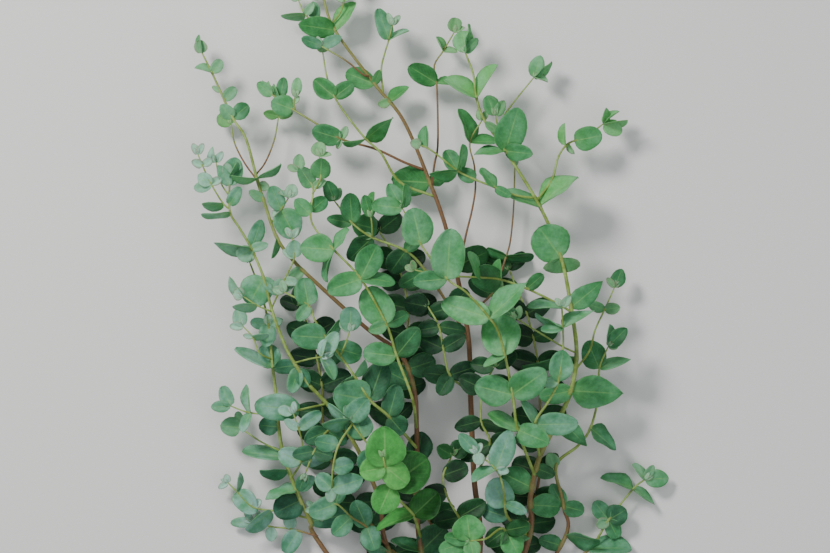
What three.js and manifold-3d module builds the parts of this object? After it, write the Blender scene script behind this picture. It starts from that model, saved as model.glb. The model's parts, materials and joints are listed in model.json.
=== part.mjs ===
// A cut eucalyptus branch lying on a table, tips towards +Y, its leafy side up.
// Millimetres, +Z up. X and Y below are measured from a point near the fork of the limb, Z from
// the table. At the end the whole branch is moved so that the origin is under the middle of its box.

import * as THREE from "three";
import { mergeVertices } from "three/addons/utils/BufferGeometryUtils.js";
import Module from "manifold-3d";

const wasm = await Module();
wasm.setup();

// Driving dimensions
const STEM_SIDES = 5;
const LEAF_THICKNESS = 0.8;
const CLEARANCE = 0.35; // between any two pieces
const FLATNESS = 0.2; // corners that stand out by less than this are dropped after joining
const ROUND_LEAF = 0.8; // full width of a leaf as a share of its length
const EDGE_ON = 0.62; // a leaf narrower than this share of its full width is turned on its edge
const STEEPEST_TURN = (70 * Math.PI) / 180;
const LARGE_LEAF = 25;
const TINY_LEAF = 14;
const WAVE = 2.4; // step of the slow wave that varies the lift of the leaves
const LIFT = 0.22; // height of a leaf's tip over its base, as a share of its length
const LIFT_STEPS = [0, 0.12, -0.12, 0.24, -0.24, 0.36, -0.36, 0.5, -0.5, 0.65, -0.65, 0.8, -0.8];
const LOWEST = 0.4; // nothing but the limb comes closer to the table

const UP = new THREE.Vector3(0, 0, 1);

const GREEN = "#5f9a6c";
const YOUNG_GREEN = "#8fc59a";
const BROWN = "#9a7a55";

// The growth table. Each stem starts on its parent at a numbered point of the parent's route, where
// 0 is the start of the parent, and passes through its own route points, numbered from 1.
// thick: diameter at the start and at the tip. heights: over the table, spread evenly along the route.
// leaves: [route point, reach in X, reach in Y, width across as seen from above].
const LIMB = {
  name: "limb",
  thick: [17, 13],
  heights: [9.5, 16, 26],
  route: [[20, -200], [22, -160], [28, -122]],
};

const STEMS = [
  {
    name: "leader_tall", on: ["limb", 1.95], thick: [6, 2], heights: [27, 34, 34, 28, 18],
    route: [[45, 0], [40, 66], [37, 133], [35, 191], [26, 243], [15, 291], [0, 334], [-24, 390],
      [-50, 423], [-86, 472], [-97, 503], [-104, 530]],
    leaves: [[5.3, 30, 14, 24], [7, -34, 2, 29], [7, 16, 8, 14], [8.5, -11, -3, 9], [8.5, 17, 14, 10],
      [9, -27, 11, 19], [9, 5, 13, 8], [10, -31, 4, 20], [10, 17, 26, 14], [11, -19, 9, 15],
      [11, 19, 11, 14], [12, -9, 14, 9], [12, 8, 15, 9]],
  },
  {
    name: "tall_tip_right", on: ["leader_tall", 10.2], thick: [2, 1.4], heights: [28, 32],
    route: [[-80, 490], [-75, 512]],
    leaves: [[1.4, -10, 6, 6], [1.4, 12, 4, 6], [2, -6, 11, 6], [2, 7, 10, 6]],
  },
  {
    name: "tall_tip_left", on: ["leader_tall", 10.15], thick: [2, 1.4], heights: [26, 26, 22],
    route: [[-103, 479], [-113, 486], [-119, 499]],
    leaves: [[1, -3, 19, 11], [2, -22, -3, 7], [2, 8, 10, 8], [3, -9, 8, 9], [3, 5, 11, 7]],
  },
  {
    name: "tall_twig_left", on: ["leader_tall", 9.15], thick: [2, 1.4], heights: [34, 36, 34],
    route: [[-60, 431], [-76, 444], [-98, 457]],
    leaves: [[3, -18, 7, 11], [3, 18, 9, 11], [3, -4, 9, 5]],
  },
  {
    name: "tall_twig_right", on: ["leader_tall", 8.7], thick: [2, 1.4], heights: [30, 36, 40],
    route: [[-44, 436], [-41, 450], [-37, 463], [-34, 476]],
    leaves: [[3, -10, 28, 15], [3, 18, 9, 6], [4, -4, 11, 6], [4, 7, 9, 6]],
  },
  {
    name: "long_left_shoot", on: ["leader_tall", 7.2], thick: [2.6, 1.5], heights: [36, 40, 36, 26],
    route: [[-23, 352], [-49, 364], [-80, 373], [-101, 386], [-124, 400], [-142, 413], [-149, 420]],
    leaves: [[3, -26, 8, 19], [3, 5, 12, 8], [3, -4, -9, 5], [5, -19, 7, 20], [5.6, 4, 21, 11],
      [5.6, -6, 15, 5], [6, -14, 11, 12], [6, -4, 13, 5]],
  },
  {
    name: "long_left_twig", on: ["long_left_shoot", 4.9], thick: [1.8, 1.4], heights: [38, 40],
    route: [[-123, 405], [-122, 411]],
    leaves: [[1, 5, 7, 5], [2, 3, 18, 10]],
  },
  {
    name: "green_arc", on: ["leader_tall", 6.7], thick: [2.6, 1.5], heights: [44, 48, 40, 26],
    route: [[-27, 334], [-44, 360], [-58, 373], [-75, 394], [-86, 411], [-93, 429], [-97, 452]],
    leaves: [[3, 24, 20, 13], [3, -20, -6, 5], [5, -19, 16, 18], [5, 17, 13, 15], [7, -6, 9, 6],
      [7, 6, 9, 6]],
  },
  {
    name: "brown_mid_shoot", on: ["leader_tall", 6.9], thick: [2.2, 1.4], heights: [40, 30, 22],
    route: [[4, 350], [7, 366], [7, 399], [6, 424], [4, 440], [12, 453], [22, 470]],
    leaves: [[4, -25, 15, 19], [4, 21, 1, 9], [6, -7, 13, 6], [6, 13, 0, 6], [7, 1, 14, 13],
      [7, 10, 4, 5]],
  },
  {
    name: "brown_right_shoot", on: ["leader_tall", 5.1], thick: [2.2, 1.4], heights: [42, 48, 40],
    route: [[32, 284], [38, 309], [41, 329], [40, 349], [36, 370], [47, 390]],
    leaves: [[5, -7, 31, 13], [5, 25, 1, 10], [6, 6, 10, 6], [6, -5, 10, 5]],
  },
  {
    name: "brown_far_shoot", on: ["leader_tall", 4.4], thick: [2.2, 1.4], heights: [26, 16],
    route: [[55, 232], [64, 252], [69, 267], [73, 282], [76, 314], [77, 349]],
    leaves: [[3, 25, 1, 9], [3, -18, 7, 9], [1, 22, 4, 12], [1, -20, 14, 14]],
  },
  {
    name: "centre_back_shoot", on: ["leader_tall", 4], thick: [3, 1.6], heights: [44, 62, 70, 72],
    route: [[18, 221], [-4, 254], [-22, 272], [-52, 284], [-70, 297], [-86, 317]],
    leaves: [[1, 16, 16, 18], [1, -20, -6, 18], [2, -24, -14, 15], [3, -14, -20, 21], [3, 13, 14, 13],
      [4, -21, -20, 21], [4, -9, 3, 7], [5, -2, 27, 19], [5, -23, 4, 12], [5, 24, -6, 24],
      [6, -7, 18, 14], [6, 6, 12, 8]],
  },
  {
    name: "centre_back_twig", on: ["centre_back_shoot", 4], thick: [1.8, 1.4], heights: [80, 82],
    route: [[-52, 294], [-53, 302]],
    leaves: [[2, -6, 20, 12], [2, 3, 23, 8]],
  },
  {
    name: "leader_right", on: ["limb", 1.3], thick: [5.6, 1.8], heights: [24, 46, 58, 56, 48, 38],
    route: [[86, 0], [91, 50], [99, 86], [115, 118], [127, 146], [132, 180], [127, 221],
      [118, 266], [99, 312], [68, 362], [49, 390], [42, 410], [39, 432], [32, 451]],
    leaves: [[1.8, 28, -2, 22], [1.2, -15, -7, 9], [2.2, -27, 13, 24], [2.7, 17, -7, 14],
      [4.1, 25, -25, 18], [5, 48, -3, 31], [5, -28, -6, 18], [5.9, -50, -7, 11], [7, 29, 24, 20],
      [8, -20, 27, 36], [8, 2, -14, 34], [9, 31, 30, 16], [9, -38, 14, 12], [10, 11, 38, 28],
      [10, -28, 0, 8], [10, 25, -3, 16], [12, -28, 19, 13], [12, 16, 31, 11], [14, -3, 20, 20],
      [14, 11, 13, 9], [14, 4, 26, 6]],
  },
  {
    name: "right_tip_twig", on: ["leader_right", 10.2], thick: [1.8, 1.4], heights: [56, 60],
    route: [[62, 378], [59, 394]],
    leaves: [[2, -8, 18, 15], [2, 8, 13, 10], [1, -12, 10, 8]],
  },
  {
    name: "right_thin_shoot", on: ["leader_right", 9.9], thick: [2, 1.4], heights: [34, 32, 28],
    route: [[66, 388], [71, 400], [94, 429]],
    leaves: [[3, 6, 20, 15], [3, 13, -3, 5], [3, 16, 15, 6]],
  },
  {
    name: "right_upper_shoot", on: ["leader_right", 9.1], thick: [2.4, 1.5], heights: [44, 38, 30],
    route: [[110, 336], [116, 357], [125, 369], [140, 375], [157, 387]],
    leaves: [[2.8, -3, 20, 6], [3, 5, -10, 5], [3.4, 25, 5, 22], [5, 4, 14, 7], [5, 17, -8, 15],
      [5, 22, 3, 6], [5, 13, 13, 5]],
  },
  {
    name: "right_to_centre", on: ["leader_right", 9.15], thick: [2.4, 1.5], heights: [58, 58, 56],
    route: [[77, 322], [59, 329], [41, 336], [25, 344], [2, 362], [-8, 367]],
    leaves: [[2, -14, 17, 10], [2, 13, -8, 9], [3, -16, 9, 14], [4, -26, -2, 11], [4, 7, 23, 8],
      [4, -11, 19, 15], [6, -10, 3, 10], [5.4, -3, 20, 10]],
  },
  {
    name: "right_low_to_left", on: ["leader_right", 6.9], thick: [2.4, 1.5], heights: [64, 74, 78],
    route: [[112, 226], [87, 238], [64, 246], [45, 248], [23, 249], [5, 250], [-14, 255]],
    leaves: [[2, 15, 13, 12], [3, -2, 19, 8], [3, -5, -11, 8], [3, -27, 3, 25], [4, -9, 22, 8],
      [7, -9, 3, 7], [7, -2, 9, 6]],
  },
  {
    name: "right_inner_twig", on: ["leader_right", 6], thick: [1.9, 1.4], heights: [62, 66, 68],
    route: [[119, 186], [94, 201], [78, 211]],
    leaves: [[3, -16, 12, 13], [3, 3, 12, 8]],
  },
  {
    name: "right_front_shoot", on: ["leader_right", 3], thick: [2.6, 1.5], heights: [76, 88, 92],
    route: [[94, 116], [105, 135], [115, 155], [119, 185], [119, 203], [118, 222]],
    leaves: [[1, 39, 1, 21], [1, -9, 23, 10], [3, 4, 28, 22], [3, -15, -2, 11], [5, -26, 10, 7],
      [5, -20, -3, 9], [5, 27, 18, 10], [5.9, -30, 4, 8], [6, 8, 10, 8], [6, -6, 8, 6]],
  },
  {
    name: "centre_front_shoot", on: ["leader_right", 2.5], thick: [3, 1.5],
    heights: [70, 90, 106, 116, 116, 108],
    route: [[79, 111], [74, 143], [67, 178], [61, 199], [53, 212], [32, 235], [15, 247], [-8, 277],
      [-14, 291], [-25, 310]],
    leaves: [[1, 27, -11, 22], [1, -27, 15, 13], [2, -34, 8, 28], [2, 30, 22, 28], [3, -8, 37, 36],
      [3, -20, -8, 7], [5, 35, 31, 20], [5, -43, 14, 24], [7, 3, 44, 31], [7, -30, -3, 18],
      [8, -8, 33, 29], [10, -27, 3, 17], [10, -12, 22, 15], [10, 5, 21, 8]],
  },
  {
    name: "leader_left", on: ["limb", 1.5], thick: [5.2, 1.7], heights: [28, 44, 56, 56, 50, 40, 30],
    route: [[-8, 0], [-11, 66], [-12, 112], [-14, 145], [-26, 178], [-58, 203], [-100, 241],
      [-122, 262], [-138, 284], [-150, 318], [-156, 337], [-166, 373], [-178, 392], [-190, 418],
      [-197, 433], [-206, 451]],
    leaves: [[1, 22, 22, 27], [1, -27, 12, 10], [2.3, 4, 27, 24], [4.2, -36, 18, 22], [4.6, 24, 8, 22],
      [7.6, -13, -7, 12], [9, -5, -19, 5], [10, -13, 8, 9], [10.8, 10, -4, 9], [11, 22, 12, 5],
      [11, -22, -1, 6], [13, 14, 12, 15], [13, -11, 12, 13], [13.6, 10, 12, 11], [13.9, -8, 5, 5],
      [15, -15, 6, 6], [15, 9, 12, 11], [16, -3, 12, 12], [16, -5, 16, 5]],
  },
  {
    name: "left_inner_twig", on: ["leader_left", 9.4], thick: [1.8, 1.4], heights: [64, 66],
    route: [[-134, 309], [-127, 320]],
    leaves: [[1, 13, -25, 26], [1, -9, 21, 16], [1, -8, -7, 5], [2, 5, 12, 12], [2, -9, 5, 5]],
  },
  {
    name: "left_side_shoot", on: ["leader_left", 10.9], thick: [1.8, 1.4], heights: [26, 22, 20],
    route: [[-168, 352], [-177, 370], [-180, 387]],
    leaves: [[3, -13, 8, 14]],
  },
  {
    name: "left_cross_shoot", on: ["leader_left", 11.1], thick: [1.8, 1.4], heights: [30, 26, 22],
    route: [[-149, 352], [-141, 372], [-137, 394]],
    leaves: [[3, -14, 3, 9], [3, 13, 4, 9]],
  },
  {
    name: "centre_left_shoot", on: ["leader_left", 3], thick: [2.9, 1.5],
    heights: [84, 98, 108, 112, 100, 90],
    route: [[-16, 140], [-30, 178], [-39, 206], [-62, 247], [-86, 273], [-106, 298], [-105, 329],
      [-118, 344]],
    leaves: [[2, -30, 3, 21], [2, 20, 25, 22], [3, 20, 10, 13], [3, -18, 33, 30], [3, -16, -6, 12],
      [4, 15, 31, 24], [4, -30, -11, 22], [4, 31, -1, 13], [5, -30, 2, 26], [5, 14, 18, 9],
      [5, -10, -28, 8], [6.2, -14, 14, 15], [6.3, 14, 12, 14], [7, -12, 18, 15], [7, 12, 6, 8],
      [8, 1, 15, 11], [8, -10, 4, 7]],
  },
  {
    name: "centre_left_twig", on: ["centre_left_shoot", 6.8], thick: [1.8, 1.4], heights: [104, 104],
    route: [[-98, 336], [-99, 356]],
    leaves: [[1, 1, 19, 19], [2, -1, 14, 14], [2, 11, 2, 5]],
  },
  {
    name: "left_back_shoot", on: ["leader_left", 2.6], thick: [3, 1.6], heights: [70, 82, 84, 76],
    route: [[-37, 123], [-54, 138], [-68, 160], [-86, 185], [-93, 194], [-104, 211], [-109, 223],
      [-131, 235]],
    leaves: [[1, 8, 29, 20], [1, 14, -16, 22], [2, -33, 6, 33], [2, 12, 34, 26], [3, 11, 13, 8],
      [3, -15, -11, 7], [4, 25, -7, 21], [5, -31, 2, 24], [5, 13, 17, 8], [7, -5, 25, 21],
      [7, -10, -14, 12], [8, -11, 3, 8], [8, -2, 11, 7]],
  },
  {
    name: "left_back_twig", on: ["left_back_shoot", 3.7], thick: [1.8, 1.4], heights: [94, 96],
    route: [[-76, 188], [-72, 200]],
    leaves: [[2, 1, 22, 20], [2, -9, 9, 8]],
  },
  {
    name: "leader_left_low", on: ["leader_left", 0.25], thick: [4.6, 1.7],
    heights: [22, 36, 50, 52, 52, 46],
    route: [[-37, 0], [-45, 44], [-61, 84], [-77, 112], [-93, 134], [-109, 151], [-119, 166],
      [-129, 183], [-142, 217], [-150, 248], [-161, 274], [-172, 293], [-180, 306], [-181, 325],
      [-180, 339]],
    leaves: [[1, -26, 8, 10], [7, -6, -22, 14], [7, 9, -17, 14], [7.2, -20, -3, 14], [10, -13, -24, 30],
      [10, 14, -16, 11], [11, -34, 5, 11], [11, -12, -9, 16], [11, 15, 4, 9], [11, 9, 26, 14],
      [13, -26, -3, 6], [13.4, 10, 16, 12], [14.4, 6, 25, 19], [14.4, -10, 18, 11], [15, -5, 12, 10],
      [15, 6, 13, 5]],
  },
  {
    name: "pale_cross_twig", on: ["leader_left_low", 7.3], thick: [1.8, 1.4], heights: [84, 96],
    route: [[-108, 175], [-97, 177]],
    leaves: [[2, 13, -19, 11], [2, 14, 22, 14], [2, 4, 16, 7], [2, 11, 3, 6]],
  },
  {
    name: "left_low_side", on: ["leader_left_low", 9], thick: [1.8, 1.4], heights: [58, 60],
    route: [[-156, 223], [-168, 231]],
    leaves: [[1, -22, -1, 8], [2, -9, 5, 12], [2, -14, 17, 9]],
  },
  {
    name: "left_low_riser", on: ["leader_left_low", 9.1], thick: [1.8, 1.4], heights: [62, 68, 68],
    route: [[-131, 246], [-122, 266], [-124, 284]],
    leaves: [[0.6, 14, 7, 8], [1, 13, -3, 9], [1, -8, -13, 14], [2, 0, 16, 15], [2, -11, 7, 7],
      [3, -6, 9, 6], [3, 6, 9, 6]],
  },
  {
    name: "fan_left", on: ["leader_left_low", 13.2], thick: [1.8, 1.4], heights: [50, 54, 54],
    route: [[-186, 314], [-197, 332], [-205, 349], [-209, 359]],
    leaves: [[1, -20, -2, 9], [2, -16, -4, 11], [2, -12, 9, 13], [2, 9, 6, 8], [3, -10, 4, 8],
      [3, 9, 6, 8], [4, -5, 10, 7], [4, 5, 10, 6]],
  },
  {
    name: "fan_mid", on: ["leader_left_low", 13.8], thick: [1.6, 1.3], heights: [42, 42],
    route: [[-189, 334], [-193, 352]],
    leaves: [[2, -5, 14, 7], [2, 6, 10, 7]],
  },
  {
    name: "leader_far_left", on: ["limb", 1.05], thick: [4.8, 1.7], heights: [16, 30, 34, 34, 34],
    route: [[-95, 0], [-108, 27], [-121, 56], [-134, 94], [-139, 141], [-142, 166], [-146, 205],
      [-152, 232], [-163, 262]],
    leaves: [[2, 35, 7, 19], [2.7, -24, -12, 26], [3, 17, 12, 13], [3, -28, -6, 9],
      [3.5, -26, -2, 10], [3.8, -38, 4, 13], [4.4, -19, 1, 17], [6, -34, 18, 11],
      [6, -7, 22, 21], [6, 22, 3, 13], [7, -2, -20, 16], [7, -17, 3, 11], [7, 13, 5, 10],
      [7, -1, 11, 8], [8, -14, 4, 9], [9, -7, 9, 7], [9, 4, 10, 6]],
  },
  {
    name: "far_left_twig", on: ["leader_far_left", 6.2], thick: [1.8, 1.4], heights: [42, 40, 36],
    route: [[-154, 180], [-160, 194], [-169, 204]],
    leaves: [[2, 14, 1, 6], [2, -9, 2, 5], [3, -6, 16, 14], [3, -12, 0, 8]],
  },
  {
    name: "left_reaching_shoot", on: ["leader_left_low", 5], thick: [2, 1.4], heights: [58, 58, 50, 40],
    route: [[-117, 129], [-135, 125], [-162, 126], [-180, 132]],
    leaves: [[1, -41, 4, 25], [3, -6, 25, 8], [3, -8, -17, 9], [4, -8, 18, 13], [4, -18, -1, 11]],
  },
  {
    name: "left_low_twig", on: ["leader_far_left", 3.9], thick: [1.8, 1.4], heights: [30, 24],
    route: [[-152, 99], [-172, 112]],
    leaves: [[2, -18, 2, 18], [2, -2, 15, 9]],
  },
  {
    name: "left_front_shoot", on: ["leader_far_left", 3.3], thick: [2.2, 1.4], heights: [54, 64, 66],
    route: [[-116, 82], [-115, 98], [-118, 112], [-123, 126]],
    leaves: [[1, -20, 9, 20], [1, 24, 5, 14], [3, 20, 15, 13], [3, -13, 8, 9], [4, -14, 4, 10],
      [4, 1, 11, 6]],
  },
  {
    name: "low_left_shoot", on: ["leader_far_left", 2.1], thick: [2, 1.4], heights: [24, 20, 16],
    route: [[-136, 36], [-160, 40], [-175, 54], [-183, 62]],
    leaves: [[1.3, -22, -19, 14], [2, 7, 7, 8], [3, 17, -19, 20], [3, 3, 18, 5], [4, -2, 8, 7],
      [4, -9, -5, 6]],
  },
  {
    name: "lowest_left_shoot", on: ["leader_far_left", 1.5], thick: [2, 1.4], heights: [14, 12],
    route: [[-126, 20], [-144, 22], [-161, 27]],
    leaves: [[0.7, -13, -20, 17], [1, -2, 15, 12], [2, 0, -14, 11], [3, -20, -2, 10], [3, -7, 9, 6],
      [3, 7, 9, 5]],
  },
  {
    name: "front_bright_shoot", on: ["leader_left", 1.2], thick: [3, 1.8], heights: [66, 90, 108, 114],
    route: [[-15, 34], [-27, 48], [-35, 62], [-40, 79], [-42, 88]],
    leaves: [[1, 22, 21, 27], [1, -34, -9, 11], [3, 33, 24, 38], [3, -11, -25, 26], [4, 20, -16, 25],
      [4, -23, -5, 22], [4, -1, 36, 37]],
  },
  {
    name: "front_left_shoot", on: ["leader_left", 2.1], thick: [2.6, 1.5], heights: [74, 84, 88, 88],
    route: [[-35, 84], [-50, 93], [-60, 104], [-72, 120]],
    leaves: [[2, -14, -16, 16], [3, -8, 24, 25], [4, 16, -19, 19], [4, -24, -4, 10], [4, 16, 20, 20],
      [4, -21, 13, 9], [4, -4, 14, 8]],
  },
  {
    name: "drooping_shoot", on: ["front_left_shoot", 3.8], thick: [2.2, 1.6], heights: [98, 96, 84],
    route: [[-82, 98], [-87, 77], [-88, 59]],
    leaves: [[1, -21, 4, 16], [2, 19, 5, 16], [3, 28, 9, 20], [3, -14, 12, 16], [3, -2, -13, 10]],
  },
  {
    name: "inner_left_shoot", on: ["leader_left_low", 4], thick: [2.2, 1.6], heights: [64, 68],
    route: [[-92, 110], [-104, 92], [-112, 72]],
    leaves: [[1, -21, -9, 17], [1, 17, -12, 14], [2, 17, -5, 15], [2, -20, -4, 14], [3, -6, -17, 12]],
  },
  {
    name: "low_centre_left", on: ["leader_left_low", 1.1], thick: [2.2, 1.5], heights: [48, 52, 46],
    route: [[-57, 23], [-71, 32], [-85, 44], [-100, 38]],
    leaves: [[1, 8, -21, 19], [1, -11, 24, 20], [2, -17, -16, 18], [3, -24, -9, 20], [3, 6, 20, 14],
      [4, -13, 0, 8], [4, -11, 9, 7], [4, 2, 11, 6], [4, 3, -10, 8]],
  },
  {
    name: "right_low_front", on: ["leader_right", 1.3], thick: [2.6, 1.5], heights: [58, 84, 88],
    route: [[70, 32], [67, 48], [65, 62], [59, 76], [42, 91]],
    leaves: [[1, -24, 8, 18], [1.6, -11, 25, 26], [1.8, 20, -8, 11], [4, 13, 35, 22], [4, -22, -9, 9],
      [4, 12, -2, 8], [5, -16, 17, 13], [5, 3, -11, 11], [5, 4, 9, 6]],
  },
  {
    name: "lowest_front", on: ["leader_right", 0.8], thick: [2.4, 1.6], heights: [50, 66, 64],
    route: [[68, 20], [50, 13], [36, 11]],
    leaves: [[1, 12, -22, 22], [1, -18, -13, 18], [1, 22, 5, 16], [3, -3, 23, 30], [3, -28, -9, 18],
      [3, -23, 4, 12], [3, 4, -17, 16]],
  },
  {
    name: "leader_far_right", on: ["leader_right", 0.3], thick: [4, 1.5], heights: [16, 28, 40, 44],
    route: [[119, 5], [121, 41], [114, 77], [134, 96], [145, 112], [152, 140], [153, 166], [161, 186]],
    leaves: [[1.15, 31, -4, 14], [1, -20, 6, 15], [2, 19, -5, 16], [2, -11, 20, 15], [3, -7, 12, 13],
      [5, 23, -20, 15], [7, -11, 25, 23], [7, 27, 11, 10], [8, 1, 20, 9], [8, 16, 16, 14],
      [8, 9, -1, 6]],
  },
  {
    name: "far_right_back", on: ["leader_right", 5.5], thick: [2.2, 1.4], heights: [44, 34, 26],
    route: [[144, 182], [149, 200], [158, 219], [167, 239]],
    leaves: [[3, -15, 5, 10], [3, 14, 2, 11], [4, 7, 17, 14], [4, -7, 9, 6]],
  },
  {
    name: "lowest_right_shoot", on: ["leader_far_right", 0.5], thick: [3, 1.6], heights: [12, 14, 16],
    route: [[144, 1], [153, 13], [162, 28], [184, 56], [195, 65]],
    leaves: [[1, 38, 5, 16], [3, -13, 17, 16], [3, 16, 10, 21], [3, 9, -17, 15], [3, -11, -6, 11],
      [4, -28, 13, 10], [4, 21, -13, 8], [5, -12, 14, 8], [5, 22, 1, 17], [5, 8, 13, 8]],
  },
  {
    name: "inner_low_shoot", on: ["leader_tall", 1], thick: [2.4, 1.6], heights: [52, 60, 60],
    route: [[26, 32], [15, 52], [12, 70], [20, 88]],
    leaves: [[1, 24, 14, 20], [1, -22, -5, 18], [2, -22, 4, 18], [3, 22, 8, 20], [4, 14, 12, 18],
      [4, -14, 8, 14]],
  },
  {
    name: "inner_right_shoot", on: ["leader_tall", 2], thick: [2.4, 1.6], heights: [56, 62, 64],
    route: [[54, 98], [46, 119], [48, 148], [58, 168]],
    leaves: [[1, 24, 2, 20], [1, -28, -12, 20], [2, -24, -6, 15], [2, 30, -12, 12], [3, 26, 6, 20],
      [3, -22, 10, 20], [4, -22, 2, 16], [4, 20, 12, 14]],
  },
  {
    name: "inner_upper_shoot", on: ["leader_tall", 3.2], thick: [2.4, 1.6], heights: [58, 66, 64],
    route: [[18, 160], [12, 184], [8, 204], [-2, 222]],
    leaves: [[1, 24, 8, 18], [1, -24, 2, 18], [1, -10, -18, 16], [2, -22, 10, 20], [2, 20, 12, 16],
      [3, 24, -4, 14], [3, -20, -4, 16], [4, -22, 4, 21]],
  },
  {
    name: "back_left_shoot", on: ["limb", 0.4], thick: [3.4, 1.6], heights: [13, 9, 8, 9, 10, 11, 11],
    route: [[-10, -40], [-52, 22], [-80, 62], [-96, 104], [-98, 150], [-108, 196], [-118, 222]],
    leaves: [[1.5, 24, 8, 20], [1.5, -26, 4, 20], [2, -26, 10, 20], [2, 24, 14, 20], [2.5, -24, 2, 19],
      [2.5, 24, 2, 19], [3, 22, 10, 21], [3, -26, -6, 21], [3.5, 24, 2, 19], [3.5, -25, 0, 19],
      [4, -24, 8, 21], [4, 25, 6, 21], [4.5, 24, 8, 20], [4.5, -24, 0, 18], [5, 26, 10, 22],
      [5, -24, 10, 20], [5.5, 24, 6, 19], [5.5, -24, 4, 19], [6, 22, 12, 20], [6, -22, 8, 20],
      [7, 2, 22, 17], [7, -18, 6, 14]],
  },
  {
    name: "back_middle_shoot", on: ["leader_tall", 0.4], thick: [3.2, 1.6],
    heights: [14, 9, 8, 8, 9, 10, 12, 12],
    route: [[20, -10], [-2, 30], [-22, 70], [-30, 120], [-24, 170], [-20, 220], [-30, 262], [-46, 290]],
    leaves: [[2, 24, 10, 21], [2, -24, 8, 20], [2.5, -22, 10, 18], [3, -24, 12, 21], [3, 20, 4, 15],
      [3.5, -24, 6, 20], [4, -25, 10, 22], [4, 14, 14, 14], [4.5, -24, 8, 20], [4.5, 24, 8, 20],
      [5, -26, 6, 22], [5, 26, 8, 21], [5.5, 25, 6, 20], [5.5, -24, 8, 20], [6, 26, 8, 21],
      [6, -25, 6, 21], [6.5, 24, 8, 19], [6.5, -24, 6, 19], [7, 26, 6, 21], [7, -24, 8, 20],
      [8, 20, 16, 19], [8, -22, 10, 18]],
  },
  {
    name: "back_right_shoot", on: ["limb", 0.7], thick: [3.2, 1.6], heights: [13, 9, 8, 8, 9, 10, 12],
    route: [[62, -30], [88, 24], [100, 72], [100, 120], [98, 170], [88, 215], [72, 255]],
    leaves: [[1.5, 24, 4, 19], [1.5, -24, 6, 19], [2, 26, 4, 21], [2, -24, 8, 20], [2.5, 22, 4, 18],
      [2.5, -24, 2, 18], [3, -26, 8, 22], [3, 16, 16, 14], [3.5, -24, 6, 18], [4, 24, 6, 20],
      [4, -26, 4, 20], [4.5, 24, 4, 18], [4.5, -26, 4, 19], [5, 24, 6, 18], [5, -28, 6, 20],
      [5.5, -25, 6, 20], [5.5, 22, 8, 16], [6, 22, 12, 17], [6, -26, 8, 20], [6.5, -22, 8, 18],
      [7, -24, 8, 20], [7, 14, 16, 14]],
  },
];

// Joining and cutting
function toSolid(geometry) {
  const bare = geometry.clone();
  bare.deleteAttribute("normal");
  bare.deleteAttribute("uv");
  const welded = mergeVertices(bare, 1e-4);
  return new wasm.Manifold(new wasm.Mesh({
    numProp: 3,
    vertProperties: new Float32Array(welded.attributes.position.array),
    triVerts: new Uint32Array(welded.index.array),
  }));
}

function toGeometry(solid, shift) {
  const mesh = solid.getMesh();
  const geometry = new THREE.BufferGeometry();
  geometry.setAttribute("position", new THREE.BufferAttribute(mesh.vertProperties, 3));
  geometry.setIndex(new THREE.BufferAttribute(mesh.triVerts, 1));
  geometry.translate(shift.x, shift.y, shift.z);
  geometry.computeVertexNormals();
  return geometry;
}

function boxesMeet(one, other) {
  return [0, 1, 2].every((axis) => one.min[axis] < other.max[axis] && other.min[axis] < one.max[axis]);
}

function sharedVolume(solid, box, others) {
  let volume = 0;
  for (const other of others) {
    if (boxesMeet(box, other.box)) volume += solid.intersect(other.solid).volume();
  }
  return volume;
}

// Stems
function heightAt(heights, share) {
  const place = share * (heights.length - 1);
  const below = Math.min(Math.floor(place), heights.length - 2);
  return THREE.MathUtils.lerp(heights[below], heights[below + 1], place - below);
}

function routeOf(stem, start) {
  const last = Math.max(stem.route.length - 1, 1);
  const points = stem.route.map(([x, y], i) => new THREE.Vector3(x, y, heightAt(stem.heights, i / last)));
  return start ? [start, ...points] : points;
}

function pointOn(route, place) {
  const before = Math.min(Math.floor(place), route.length - 2);
  return route[before].clone().lerp(route[before + 1], place - before);
}

// A tapered rod whose rings are carried one by one onto the points of the route.
function stemSolid(route, [startDiameter, tipDiameter], extra = 0) {
  const stretches = route.length - 1;
  const rod = new THREE.CylinderGeometry(
    tipDiameter / 2 + extra, startDiameter / 2 + extra, 1, STEM_SIDES, stretches);
  const places = rod.attributes.position;
  for (let i = 0; i < places.count; i++) {
    const ring = Math.round((places.getY(i) + 0.5) * stretches);
    const ahead = route[Math.min(ring + 1, stretches)];
    const along = ahead.clone().sub(route[Math.max(ring - 1, 0)]).normalize();
    const across = new THREE.Vector3().crossVectors(UP, along).normalize();
    const above = new THREE.Vector3().crossVectors(along, across);
    const place = route[ring].clone()
      .addScaledVector(across, places.getX(i))
      .addScaledVector(above, -places.getZ(i));
    places.setXYZ(i, place.x, place.y, place.z);
  }
  return toSolid(rod);
}

// Leaves
function leafOutline(length, width, grow) {
  const half = width / 2;
  let side = [[0.26, 0.94], [0.7, 0.84]];
  if (length > LARGE_LEAF) side = [[0.2, 0.84], [0.58, 1], [0.9, 0.5]];
  if (length < TINY_LEAF) side = [[0.45, 1]];
  const right = side.map(([along, across]) => new THREE.Vector2(length * along, -half * across - grow));
  const left = side.map(([along, across]) => new THREE.Vector2(length * along, half * across + grow));
  return new THREE.Shape([
    new THREE.Vector2(0, 0), ...right, new THREE.Vector2(length + grow, 0), ...left.reverse()]);
}

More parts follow.
